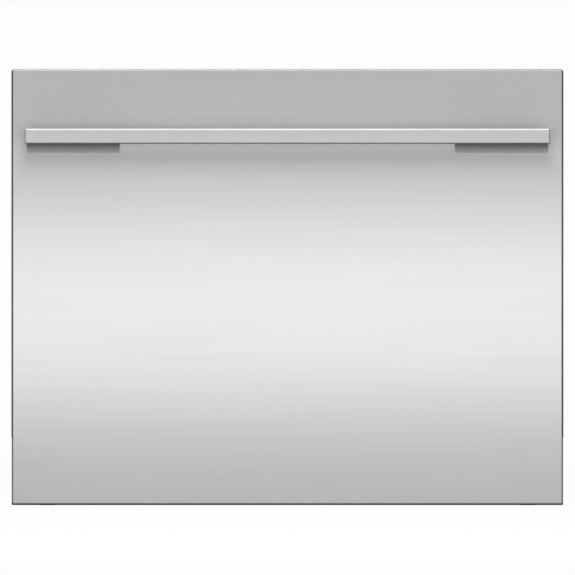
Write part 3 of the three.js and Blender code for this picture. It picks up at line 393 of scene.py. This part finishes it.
def evenNormals(piece):
    # large flat faces keep their own direction, and the rounding beside them takes the turn
    modifier = piece.modifiers.new("evenNormals", "WEIGHTED_NORMAL")
    modifier.mode = "FACE_AREA"
    modifier.weight = 100
    modifier.keep_sharp = True


roundedEdges = {
    "handle_bar": 0.35,
    "handle_foot_right": 0.5,
    "handle_foot_left": 0.5,
    "front_core": 0.2,
    "detergent_dispenser": 0.8,
    "dispenser_door": 0.5,
    "controller_module": 1.0,
    "power_button": 0.3,
    "programme_button": 0.3,
    "option_button": 0.3,
    "start_button": 0.3,
    "foot_rail_right": 0.5,
    "foot_rail_left": 0.5,
    "lid_actuator_right": 0.7,
    "lid_actuator_left": 0.7,
    "control_console": 0.4,
    "front_box": 0.6,
    "spray_arm": 0.6,
    "power_inlet": 0.4,
    "water_valve": 0.5,
}


def roundEdges(piece, width):
    bevel = piece.modifiers.new("roundedEdges", "BEVEL")
    bevel.width = width * mm
    bevel.segments = 2
    bevel.limit_method = "ANGLE"
    bevel.angle_limit = math.radians(smoothing["angle"])
    bevel.harden_normals = True


nodeFinishes = {
    "galvanised": [
        "base_tray", "side_panel_right", "side_panel_left", "rear_panel", "top_panel",
        "runner_bracket_right", "runner_bracket_left",
    ],
    "zincPlated": [
        "runner_outer_right", "runner_outer_left", "runner_middle_right", "runner_middle_left",
        "runner_inner_right", "runner_inner_left", "heater_ring",
    ],
    "brushedSteel": ["front_skin"],
    "handleSteel": ["handle_bar"],
    "blackRubber": ["edge_trim", "foot_rail_right", "foot_rail_left", "tub_seal"],
    "blackPlastic": [
        "front_core", "control_console", "power_inlet", "lid_actuator_right", "lid_actuator_left",
    ],
    "footPlastic": ["handle_foot_right", "handle_foot_left"],
    "whitePlastic": [
        "water_valve", "front_box", "lid_rack_right", "lid_rack_left", "lid_pinion_right",
        "lid_pinion_left",
    ],
    "greyNylon": [
        "drain_outlet", "filter_plate", "spray_arm", "detergent_dispenser", "cup_rack_right",
        "cup_rack_left",
    ],
    "darkNylon": [
        "controller_module", "wash_rotor", "drain_filter", "dispenser_door", "rinse_aid_cap",
        "cutlery_basket",
    ],
    "coatedWire": [
        "base_rack", "folding_tines_1", "folding_tines_2", "fixed_tines_1", "fixed_tines_2",
    ],
    "tubPlastic": ["tub"],
    "lidPlastic": ["lid"],
    "motorCasing": ["wash_motor"],
    "buttonPlastic": ["power_button", "programme_button", "option_button", "start_button"],
    "displayLens": ["indicator_lens"],
}


def finishNode(member, finishName):
    piece = nodes[member]
    piece.data.materials.clear()
    piece.data.materials.append(materials[finishName])
    smoothNode(piece, smoothing["wireAngle" if finishName == "coatedWire" else "angle"])
    if member in roundedEdges:
        roundEdges(piece, roundedEdges[member])
    evenNormals(piece)


for finishName, members in nodeFinishes.items():
    for member in members:
        finishNode(member, finishName)
print("nodes finished:", sum(len(members) for members in nodeFinishes.values()))

# making pieces


def meshPiece(name, vertices, faces, materialName, body, slotName=None, smooth=True):
    mesh = bpy.data.meshes.new(name)
    mesh.from_pydata([tuple(v) for v in vertices], [], faces)
    mesh.validate()
    for polygon in mesh.polygons:
        polygon.use_smooth = smooth
    mesh.materials.append(materials[materialName])
    piece = bpy.data.objects.new(name, mesh)
    scene.collection.objects.link(piece)
    if body:
        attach(piece, body)
    return piece


def joinShapes(shapes):
    vertices, faces = [], []
    for shapeVertices, shapeFaces in shapes:
        start = len(vertices)
        vertices += shapeVertices
        faces += [[index + start for index in face] for face in shapeFaces]
    return vertices, faces


def skinRings(rings, closedEnds=True):
    count = len(rings[0])
    vertices = [point for ring in rings for point in ring]
    faces = []
    for r in range(len(rings) - 1):
        for i in range(count):
            a, b = r * count + i, r * count + (i + 1) % count
            faces.append([a, b, b + count, a + count])
    if closedEnds:
        faces.append(list(range(count))[::-1])
        faces.append([(len(rings) - 1) * count + i for i in range(count)])
    return vertices, faces


def fullTurn(count):
    return [2 * math.pi * k / count for k in range(count)]


def lathed(profile, centre, sides, direction=(0, 0, 1)):
    # rings of (radius, height) round a point, standing up unless a direction is given
    upright = Vector(direction)
    across = upright.orthogonal().normalized()
    other = upright.cross(across)
    turns = [math.cos(a) * across + math.sin(a) * other for a in fullTurn(sides)]
    return skinRings(
        [[(centre + radius * turn + upright * height) * mm for turn in turns]
         for radius, height in profile]
    )


# hoses between the chassis and the drawer, which lie in loops on the tray
hoses = {
    "ribPitch": 4.5,
    "ribHeight": 1.0,
    "ringsPerRib": 3,
    "plainEnd": 16.0,
    "sides": 14,
    "stepsPerSpan": 40,
    "drain": {
        "node": "drain_hose",
        "radius": 8.0,
        "ribbed": True,
        "material": "greyNylon",
        "blendStart": (0, 0, 0.070),
        "blendEnd": (-0.0068, 0, 0.0973),
        "route": [
            (176, 251.5, 40), (176, 228, 38), (176, 188, 27), (176, 145, 20), (176, 88, 19),
            (153, 3, 19), (91, -59, 19), (6, -82, 19), (-79, -59, 19), (-141, 3, 19),
            (-164, 88, 19), (-164, 140, 19), (-164, 186, 19), (-157, 218, 24), (-138, 241, 38),
            (-112, 250, 56.5), (-86, 241, 75), (-67, 218, 89), (-60, 186, 94), (-60, 183, 94),
        ],
    },
    "supply": {
        "node": "supply_hose",
        "radius": 6.0,
        "ribbed": False,
        "material": "blackRubber",
        "blendStart": (0, 0, 0.078),
        "blendEnd": (-0.008, 0, 0.110),
        "route": [
            (236, 215.5, 40), (236, 200, 39), (236, 165, 29), (236, 125, 20), (236, 60, 19),
            (207, -49, 19), (127, -129, 19), (18, -158, 19), (-91, -129, 19), (-171, -49, 19),
            (-200, 60, 19), (-200, 130, 19), (-200, 186, 19), (-194, 216, 24), (-176, 239, 38),
            (-152, 247, 56.5), (-128, 239, 75), (-110, 216, 89), (-104, 186, 94), (-104, 183, 94),
        ],
    },
}


def curvedSpan(a, b, c, d, steps):
    # points from b to c, where centripetal spacing keeps the bends even
    gaps = [(q - p).length ** 0.5 for p, q in ((a, b), (b, c), (c, d))]
    slopeB = (b - a) / gaps[0] - (c - a) / (gaps[0] + gaps[1]) + (c - b) / gaps[1]
    slopeC = (c - b) / gaps[1] - (d - b) / (gaps[1] + gaps[2]) + (d - c) / gaps[2]
    slopeB, slopeC = slopeB * gaps[1], slopeC * gaps[1]
    span = []
    for k in range(steps):
        t = k / steps
        fromB, fromC = 2 * t**3 - 3 * t**2 + 1, -2 * t**3 + 3 * t**2
        leaving, arriving = t**3 - 2 * t**2 + t, t**3 - t**2
        span.append(fromB * b + leaving * slopeB + fromC * c + arriving * slopeC)
    return span


def smoothRoute(route, step):
    points = [Vector(p) for p in route]
    ends = [2 * points[0] - points[1]] + points + [2 * points[-1] - points[-2]]
    fine = []
    for i in range(1, len(ends) - 2):
        fine += curvedSpan(*ends[i - 1 : i + 3], hoses["stepsPerSpan"])
    fine.append(points[-1])
    length = [0.0]
    for p, q in zip(fine, fine[1:]):
        length.append(length[-1] + (q - p).length)
    count = int(length[-1] / step)
    even, k = [], 0
    for i in range(count + 1):
        target = length[-1] * i / count
        while k < len(length) - 2 and length[k + 1] < target:
            k += 1
        span = length[k + 1] - length[k]
        even.append(fine[k].lerp(fine[k + 1], (target - length[k]) / span))
    return even, length[-1]


def hoseSkin(look, line, total):
    side = Vector((1, 0, 0))
    rings = []
    for i, point in enumerate(line):
        ahead = line[min(i + 1, len(line) - 1)] - line[max(i - 1, 0)]
        ahead.normalize()
        side = (side - side.dot(ahead) * ahead).normalized()
        other = ahead.cross(side)
        along = total * i / (len(line) - 1)
        plain = not look["ribbed"] or min(along, total - along) < hoses["plainEnd"]
        radius = look["radius"]
        if not plain and i % hoses["ringsPerRib"] == 0:
            radius -= hoses["ribHeight"]
        turns = [math.cos(a) * side + math.sin(a) * other for a in fullTurn(hoses["sides"])]
        rings.append([(point + radius * turn) * mm for turn in turns])
    return skinRings(rings)


def makeHose(hoseName):
    look = hoses[hoseName]
    step = hoses["ribPitch"] / (hoses["ringsPerRib"] if look["ribbed"] else 1)
    line, total = smoothRoute(look["route"], step)
    vertices, faces = hoseSkin(look, line, total)
    hosePiece = meshPiece(hoseName + "HoseTube", vertices, faces, look["material"], None)
    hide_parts(look["node"])
    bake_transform(hosePiece)
    print(hoseName, "hose:", round(total * mm, 3), "m")


makeHose("drain")
makeHose("supply")

# painted shadow under the handle's feet: dark coves, in millimetres, whose colour is darkest at the top
# and grades lighter with their height
footShadowCoves = {
    "drop": 10.5,
    "depth": 12.0,
    "steps": 10,
    "overlap": 0.4,
    "gap": 0.05,
    "outerInset": 0.1,
    "innerReach": 1.0,
    "shadedColour": (0.10, 0.10, 0.102),
    "openColour": (0.66, 0.66, 0.665),
    "fade": 1.4,  # above 1 the shade reaches further down
    "roughness": (0.5, 0.62),
    "bump": 0.05,
    "bumpDepth": 0.0002,
}


def makeShadowCoveFinish(name, look):
    material, tree, shader = startMaterial(name)
    place = addNode(tree, "ShaderNodeTexCoord").outputs["Object"]
    height = addNode(tree, "ShaderNodeSeparateXYZ", {"Vector": place}).outputs["Z"]
    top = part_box("handle_foot_right")[0].z
    # painted shadow: darkest right under the foot and lighter further below it
    share = remap(tree, height, 1, 0, top - look["drop"] * mm, top)
    blend = calculate(tree, "POWER", share, look["fade"])
    colour = mixColours(tree, blend, look["shadedColour"], look["openColour"])
    grain = noise(tree, objectCoordinates(tree, brushedSteel["grain"]), 1.0)
    tree.links.new(colour, shader.inputs["Base Color"])
    tree.links.new(remap(tree, grain, *look["roughness"]), shader.inputs["Roughness"])
    tree.links.new(bump(tree, grain, look["bump"], look["bumpDepth"]), shader.inputs["Normal"])
    return material


materials["shadowCoveFinish"] = makeShadowCoveFinish("shadowCoveFinish", footShadowCoves)


def shadowCoveShape(foot, look):
    # a hollow quarter curve that fills the corner between the foot and the panel and carries the painted
    # shadow
    low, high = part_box(foot)
    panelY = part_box("front_skin")[0].y / mm - look["gap"]
    frontY = panelY - look["depth"]
    top, bottom = low.z / mm + look["overlap"], low.z / mm - look["drop"]
    outline = [(frontY, top)]
    for k in range(look["steps"] + 1):
        turn = math.pi / 2 * k / look["steps"]
        y, z = look["depth"] * math.sin(turn), look["drop"] * math.cos(turn)
        outline.append((frontY + y, bottom + z))
    outline.append((panelY, top))
    ends = [low.x / mm, high.x / mm]
    inner = 0 if low.x > 0 else 1
    toMiddle = 1 if inner else -1
    ends[inner] += toMiddle * look["innerReach"]
    ends[1 - inner] += toMiddle * look["outerInset"]
    return skinRings([[Vector((x, y, z)) * mm for y, z in outline] for x in ends])


def makeShadowCove(side):
    vertices, faces = shadowCoveShape("handle_foot_" + side, footShadowCoves)
    shadowCove = meshPiece("footShadowCove_" + side, vertices, faces, "shadowCoveFinish", "drawer", smooth=False)
    smoothNode(shadowCove, smoothing["angle"])


# painted shadow under each handle foot
makeShadowCove("right")
makeShadowCove("left")
print("foot coves made")

screws = {
    "headRadius": 4.0,
    "headHeight": 2.2,
    "crown": 0.82,  # how much of a full dome the head is
    "recessReach": 2.3,
    "recessWidth": 0.75,
    "recessDepth": 1.3,
    "rings": 9,
    "spokes": 24,
    "groups": {
        "chassisScrews": {
            "body": "chassis",
            "slot": "zinc_steel",
            "scale": 0.85,
            "at": [((x, 307.3, z), (0, 1, 0)) for x in (-291, 291) for z in (93.5, 272.5, 452.5)]
            + [((x, 307.3, 81.5), (0, 1, 0)) for x in (-200, 0, 200)]
            + [((x, y, 470.3), (0, 0, 1)) for x in (-291, 291) for y in (-225, 45, 290)],
        },
        "runnerScrews": {
            "body": "drawer",
            "slot": "zinc_steel",
            "scale": 0.7,
            "at": [((side * 285.2, y, 118.5), (side, 0, 0)) for side in (-1, 1) for y in (-200, 0, 160)],
        },
        "dispenserScrews": {
            "body": "drawer",
            "slot": "zinc_steel",
            "scale": 0.7,
            "at": [((x, -204.9, z), (0, 1, 0)) for x in (25.5, 164.5) for z in (304.5, 390.5)],
        },
    },
}


def headLift(x, y, radius, scale):
    # a dome with a cross cut into it
    share = radius / (screws["headRadius"] * scale)
    dome = math.sqrt(1 - (screws["crown"] * share) ** 2)
    small, large = sorted((abs(x), abs(y)))
    inRecess = small < screws["recessWidth"] * scale and large < screws["recessReach"] * scale
    depth = screws["recessDepth"] * scale if inRecess else 0
    return screws["headHeight"] * scale * dome - depth


def screwHead(at, facing, scale):
    centre, outward = Vector(at), Vector(facing).normalized()
    across = outward.orthogonal().normalized()
    up = outward.cross(across)
    rings, spokes = screws["rings"], screws["spokes"]
    middle = (screws["headHeight"] - screws["recessDepth"]) * scale
    vertices = [centre + outward * middle]
    for ring in range(1, rings + 1):
        radius = screws["headRadius"] * scale * ring / rings
        for angle in fullTurn(spokes):
            x, y = radius * math.cos(angle), radius * math.sin(angle)
            lift = headLift(x, y, radius, scale)
            vertices.append(centre + across * x + up * y + outward * lift)
    foot = screws["headRadius"] * scale
    for angle in fullTurn(spokes):
        vertices.append(centre + foot * (across * math.cos(angle) + up * math.sin(angle)))
    faces = [[0, 1 + k, 1 + (k + 1) % spokes] for k in range(spokes)]
    for ring in range(rings):
        start = 1 + ring * spokes
        for k in range(spokes):
            a, b = start + k, start + (k + 1) % spokes
            faces.append([a, a + spokes, b + spokes, b])
    base = 1 + rings * spokes
    faces.append([base + k for k in range(spokes)][::-1])
    return [v * mm for v in vertices], faces


def makeScrews(name, group):
    heads = [screwHead(at, facing, group["scale"]) for at, facing in group["at"]]
    vertices, faces = joinShapes(heads)
    meshPiece(name, vertices, faces, "zincPlated", group["body"], group["slot"], smooth=False)


for groupName, screwGroup in screws["groups"].items():
    makeScrews(groupName, screwGroup)
print("screws made")

ballBearings = {
    "radius": 1.03,
    "pitch": 5.2,
    "runnerHeight": 118.5,
    "cages": ((-234, -152), (152, 234)),
    "rows": ((288.9, 19.05), (287.35, 15.55)),  # beside the cage, and above the runner's middle
    "rings": 6,
    "spokes": 10,
}


def ballShape(centre, radius, look):
    rings = []
    for ring in range(1, look["rings"]):
        turn = math.pi * ring / look["rings"]
        r, height = radius * math.sin(turn), radius * math.cos(turn)
        angles = fullTurn(look["spokes"])
        ringPoints = [Vector((r * math.cos(a), r * math.sin(a), height)) for a in angles]
        rings.append([(centre + point) * mm for point in ringPoints])
    vertices, faces = skinRings(rings, closedEnds=False)
    for pole, first in ((1, 0), (-1, len(vertices) - look["spokes"])):
        vertices.append((centre + Vector((0, 0, radius * pole))) * mm)
        for k in range(look["spokes"]):
            edge = [first + k, first + (k + 1) % look["spokes"], len(vertices) - 1]
            faces.append(edge if pole > 0 else edge[::-1])
    return vertices, faces


def makeBallBearings(side, body, look):
    balls = []
    for low, high in look["cages"]:
        count = int((high - low) / look["pitch"])
        for k in range(count + 1):
            y = low + (high - low) * k / count
            for x, rise in look["rows"]:
                for up in (-1, 1):
                    centre = Vector((side * x, y, look["runnerHeight"] + up * rise))
                    balls.append(ballShape(centre, look["radius"], look))
    vertices, faces = joinShapes(balls)
    meshPiece("ballBearings_" + body, vertices, faces, "zincPlated", body, "zinc_steel")


makeBallBearings(1, "slide_right", ballBearings)
makeBallBearings(-1, "slide_left", ballBearings)
print("ball bearings made")

# thin marks on the buttons and the indicator lens
marks = {
    "thick": 0.12,
    "stroke": 0.55,
    "middleY": -235.85,
    "buttonTop": 465.6,
    "lensTop": 465.0,
    "buttons": {"power": -196, "programme": -152, "option": 152, "start": 196},
    "powerRing": (2.3, 120, 420, 20),  # radius, first and last angle, steps
    "powerStroke": (0.6, 3.0),
    "lineHalf": 2.6,
    "lineRows": (-1.8, 0, 1.8),
    "plusHalf": 2.5,
    "triangle": ((-1.6, -2.2), (2.3, 0), (-1.6, 2.2)),
    "lensRing": (1.1, 0, 340, 17),
    "lensRingPlaces": (-60, -46, -32, -18, -4),
    "digitHalf": 1.6,
    "digitRows": (2.2, 0, -2.2),
    "digitPlaces": (28, 36, 48, 56),
}


def arcPoints(radius, start, end, steps):
    angles = (math.radians(start + (end - start) * k / steps) for k in range(steps + 1))
    return [(radius * math.cos(a), radius * math.sin(a)) for a in angles]


def strokeShape(line, origin, closed=False):
    points = [Vector(point) for point in line]
    x, y, low = origin
    high = low + marks["thick"]
    count, half = len(points), marks["stroke"] / 2
    rings = []
    for i, point in enumerate(points):
        if closed:
            ahead = points[(i + 1) % count] - points[i - 1]
        else:
            ahead = points[min(i + 1, count - 1)] - points[max(i - 1, 0)]
        ahead.normalize()
        side = Vector((-ahead.y, ahead.x)) * half
        left, right = point - side, point + side
        corners = ((left, low), (right, low), (right, high), (left, high))
        rings.append([Vector((x + p.x, y + p.y, z)) * mm for p, z in corners])
    if closed:
        rings.append(rings[0])
    return skinRings(rings, closedEnds=not closed)


def buttonLines(kind):
    if kind == "power":
        low, high = marks["powerStroke"]
        return [arcPoints(*marks["powerRing"]), [(0, low), (0, high)]]
    if kind == "programme":
        half = marks["lineHalf"]
        return [[(-half, row), (half, row)] for row in marks["lineRows"]]
    if kind == "option":
        half = marks["plusHalf"]
        return [[(-half, 0), (half, 0)], [(0, -half), (0, half)]]
    corners = marks["triangle"]
    return [[corners[k], corners[(k + 1) % 3]] for k in range(3)]


def makeButtonMark(kind, x):
    origin = (x, marks["middleY"], marks["buttonTop"])
    vertices, faces = joinShapes([strokeShape(line, origin) for line in buttonLines(kind)])
    body = kind + "_button"
    meshPiece(kind + "Mark", vertices, faces, "symbolPaint", body, "white_plastic", smooth=False)


def makeLensMarks():
    shapes = []
    for x in marks["lensRingPlaces"]:
        origin = (x, marks["middleY"], marks["lensTop"])
        shapes.append(strokeShape(arcPoints(*marks["lensRing"]), origin, closed=True))
    half = marks["digitHalf"]
    for x in marks["digitPlaces"]:
        origin = (x, marks["middleY"], marks["lensTop"])
        shapes += [strokeShape([(-half, row), (half, row)], origin) for row in marks["digitRows"]]
    vertices, faces = joinShapes(shapes)
    meshPiece("lensMarks", vertices, faces, "symbolPaint", "drawer", "white_plastic", smooth=False)


for buttonKind, buttonX in marks["buttons"].items():
    makeButtonMark(buttonKind, buttonX)
makeLensMarks()
print("marks made")

# raised nozzles on the spray arm
nozzles = {
    "middleY": 25.0,
    "top": 141.5,
    "rimRadius": 2.3,
    "holeRadius": 1.3,
    "rimHeight": 0.5,
    "shoulder": 0.6,  # of the rim's height
    "lip": 0.4,
    "sunk": 0.1,
    "plugGap": 0.02,  # round and under the dark plug in each hole
    "plugTop": 0.16,
    "places": ((60, -8), (105, -2), (150, 8), (184, 15)),
    "sides": 16,
}


def makeNozzles(look):
    rim, hole, high, sunk = look["rimRadius"], look["holeRadius"], look["rimHeight"], look["sunk"]
    shoulder = high * look["shoulder"]
    rimProfile = [(rim, -sunk), (rim, shoulder), (rim - look["lip"], high), (hole, high), (hole, sunk)]
    plug = hole - look["plugGap"]
    plugProfile = [(plug, look["plugGap"]), (plug, look["plugTop"])]
    rims, plugs = [], []
    for reach, offset in look["places"]:
        for turn in (1, -1):
            centre = Vector((reach * turn, look["middleY"] + offset * turn, look["top"]))
            rims.append(lathed(rimProfile, centre, look["sides"]))
            plugs.append(lathed(plugProfile, centre, look["sides"]))
    rimShape, plugShape = joinShapes(rims), joinShapes(plugs)
    meshPiece("nozzleRims", *rimShape, "greyNylon", "spray_arm", "grey_nylon", smooth=False)
    meshPiece("nozzleHoles", *plugShape, "blackRubber", "spray_arm", "black_rubber", smooth=False)


makeNozzles(nozzles)

# rounded tips on the tines
tineTips = {
    "radius": 1.85,
    "rows": {
        "folding_tines_1": "folding_tines_1",
        "folding_tines_2": "folding_tines_2",
        "fixed_tines_1": "drawer",
        "fixed_tines_2": "drawer",
    },
    "count": 7,
    "firstY": -37.0,
    "pitch": 30.0,
    "sink": 1.0,
}


def makeTineTips(rowName, body, look):
    low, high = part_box(rowName)
    x, z = (low.x + high.x) / 2 / mm, high.z / mm - look["sink"]
    places = [Vector((x, look["firstY"] + k * look["pitch"], z)) for k in range(look["count"])]
    vertices, faces = joinShapes([ballShape(at, look["radius"], ballBearings) for at in places])
    meshPiece(rowName + "_tips", vertices, faces, "coatedWire", body, "coated_wire")


for rowName, rowBody in tineTips["rows"].items():
    makeTineTips(rowName, rowBody, tineTips)

# clamps on the hoses, first the place at the chassis and then the one at the drawer
clamps = {
    "drain": {"radius": 8.2, "at": ((176, 243, 39.2), (-60, 187, 93.9))},
    "supply": {"radius": 6.2, "at": ((236, 208, 39.5), (-104, 187, 93.9))},
    "width": 5.0,
    "thick": 0.7,
    "grip": 0.4,
    "sides": 24,
    "earSpread": 1.6,
    "earRise": 2.4,
    "earRadius": 1.5,
    "earChamfer": (0.4, 1.0),
    "earSides": 10,
}


def clampShape(at, radius, look):
    along = (0, 1, 0)
    half, outside, inside = look["width"] / 2, radius + look["thick"], radius - look["grip"]
    band = [(inside, -half), (outside, -half), (outside, half), (inside, half)]
    full, (inset, slope) = look["earRadius"], look["earChamfer"]
    narrow = full - inset
    ear = [(narrow, -half), (full, slope - half), (full, half - slope), (narrow, half)]
    shapes = [lathed(band, Vector(at), look["sides"], along)]
    for side in (-1, 1):
        centre = Vector(at) + Vector((side * look["earSpread"], 0, outside + look["earRise"]))
        shapes.append(lathed(ear, centre, look["earSides"], along))
    return shapes


def makeClamps(end, body):
    shapes = []
    for hoseName in ("drain", "supply"):
        shapes += clampShape(clamps[hoseName]["at"][end], clamps[hoseName]["radius"], clamps)
    vertices, faces = joinShapes(shapes)
    meshPiece("hoseClamps_" + body, vertices, faces, "zincPlated", body, "zinc_steel", smooth=False)


makeClamps(0, "chassis")
makeClamps(1, "drawer")
print("small parts made")

# white background, pale floor, soft lamps
studio = {
    "background": 0.982,  # what the camera and gloss see
    "worldLight": 0.2,  # what lights the object
    "floorColour": (0.93, 0.93, 0.93),
    "floorSpread": 0.005,
    "floorCloud": 3.0,
    "floorRoughness": 0.9,
    "floorGlow": 0.96,  # the rest of the floor shows shadow
    "floorSize": 4.0,
    "floorDrop": 0.0005,
    "lamps": {
        "stripLamp": {
            "power": 4.2,
            "place": (0.0, -1.265, 0.2135),
            "aim": (0.0, 0.0, 0.2135),
            "size": (2.4, 0.22),
            "glossOnly": True,  # it shows as a soft sheen and lights nothing else
        },
        "keyLamp": {
            "power": 77.0,
            "place": (0.0, -3.581, 2.487),
            "aim": (0.0, -0.265, 0.25),
            "size": (1.2, 1.65),
        },
        "topLamp": {
            "power": 4.4,
            "place": (0.0, -0.35, 2.0),
            "aim": (0.0, -0.35, 0.4),
            "size": (1.6, 0.6),
        },
    },
}
white = (1, 1, 1, 1)


def seenDirectly(tree):
    path = tree.nodes.new("ShaderNodeLightPath").outputs
    seen = path["Is Camera Ray"]
    for ray in ("Is Glossy Ray", "Is Transmission Ray"):
        seen = calculate(tree, "MAXIMUM", seen, path[ray])
    return seen


def mixShaders(tree, factor, a, b):
    return addNode(tree, "ShaderNodeMixShader", {0: factor, 1: a, 2: b}).outputs[0]


def plainBackground(tree, strength):
    return addNode(tree, "ShaderNodeBackground", {"Color": white, "Strength": strength}).outputs[0]


def makeWorld():
    world = bpy.data.worlds.new("studioWorld")
    world.use_nodes = True
    tree = world.node_tree
    tree.nodes.clear()
    light = plainBackground(tree, studio["worldLight"])
    backdrop = plainBackground(tree, studio["background"])
    output = tree.nodes.new("ShaderNodeOutputWorld")
    tree.links.new(mixShaders(tree, seenDirectly(tree), light, backdrop), output.inputs[0])
    scene.world = world


def makeFloorFinish():
    material, tree, shader = startMaterial("studioFloor")
    cloud = noise(tree, objectCoordinates(tree), studio["floorCloud"])
    colour, spread = studio["floorColour"], studio["floorSpread"]
    shade = mixColours(tree, cloud, tint(colour, 1 - spread), tint(colour, 1 + spread))
    tree.links.new(shade, shader.inputs["Base Color"])
    shader.inputs["Roughness"].default_value = studio["floorRoughness"]
    glow = addNode(tree, "ShaderNodeEmission", {"Color": white, "Strength": 1.0}).outputs[0]
    share = calculate(tree, "MULTIPLY", seenDirectly(tree), studio["floorGlow"])
    surface = tree.nodes["Material Output"].inputs["Surface"]
    tree.links.new(mixShaders(tree, share, shader.outputs[0], glow), surface)
    return material


def makeFloor():
    half = studio["floorSize"]
    corners = [(-half, -half, 0), (half, -half, 0), (half, half, 0), (-half, half, 0)]
    mesh = bpy.data.meshes.new("studioFloor")
    mesh.from_pydata(corners, [], [[0, 1, 2, 3]])
    mesh.materials.append(makeFloorFinish())
    floor = bpy.data.objects.new("studioFloor", mesh)
    floor.location = (0, 0, -studio["floorDrop"])
    scene.collection.objects.link(floor)


def softLamp(name, look):
    lamp = bpy.data.lights.new(name, "AREA")
    lamp.energy = look["power"]
    lamp.shape = "RECTANGLE"
    lamp.size, lamp.size_y = look["size"]
    lampObject = bpy.data.objects.new(name, lamp)
    lampObject.location = look["place"]
    direction = Vector(look["aim"]) - Vector(look["place"])
    lampObject.rotation_euler = direction.to_track_quat("-Z", "Y").to_euler()
    lampObject.visible_camera = False
    lampObject.visible_diffuse = not look.get("glossOnly", False)
    scene.collection.objects.link(lampObject)


makeWorld()
makeFloor()
for lampName, lampLook in studio["lamps"].items():
    softLamp(lampName, lampLook)
print("studio made")
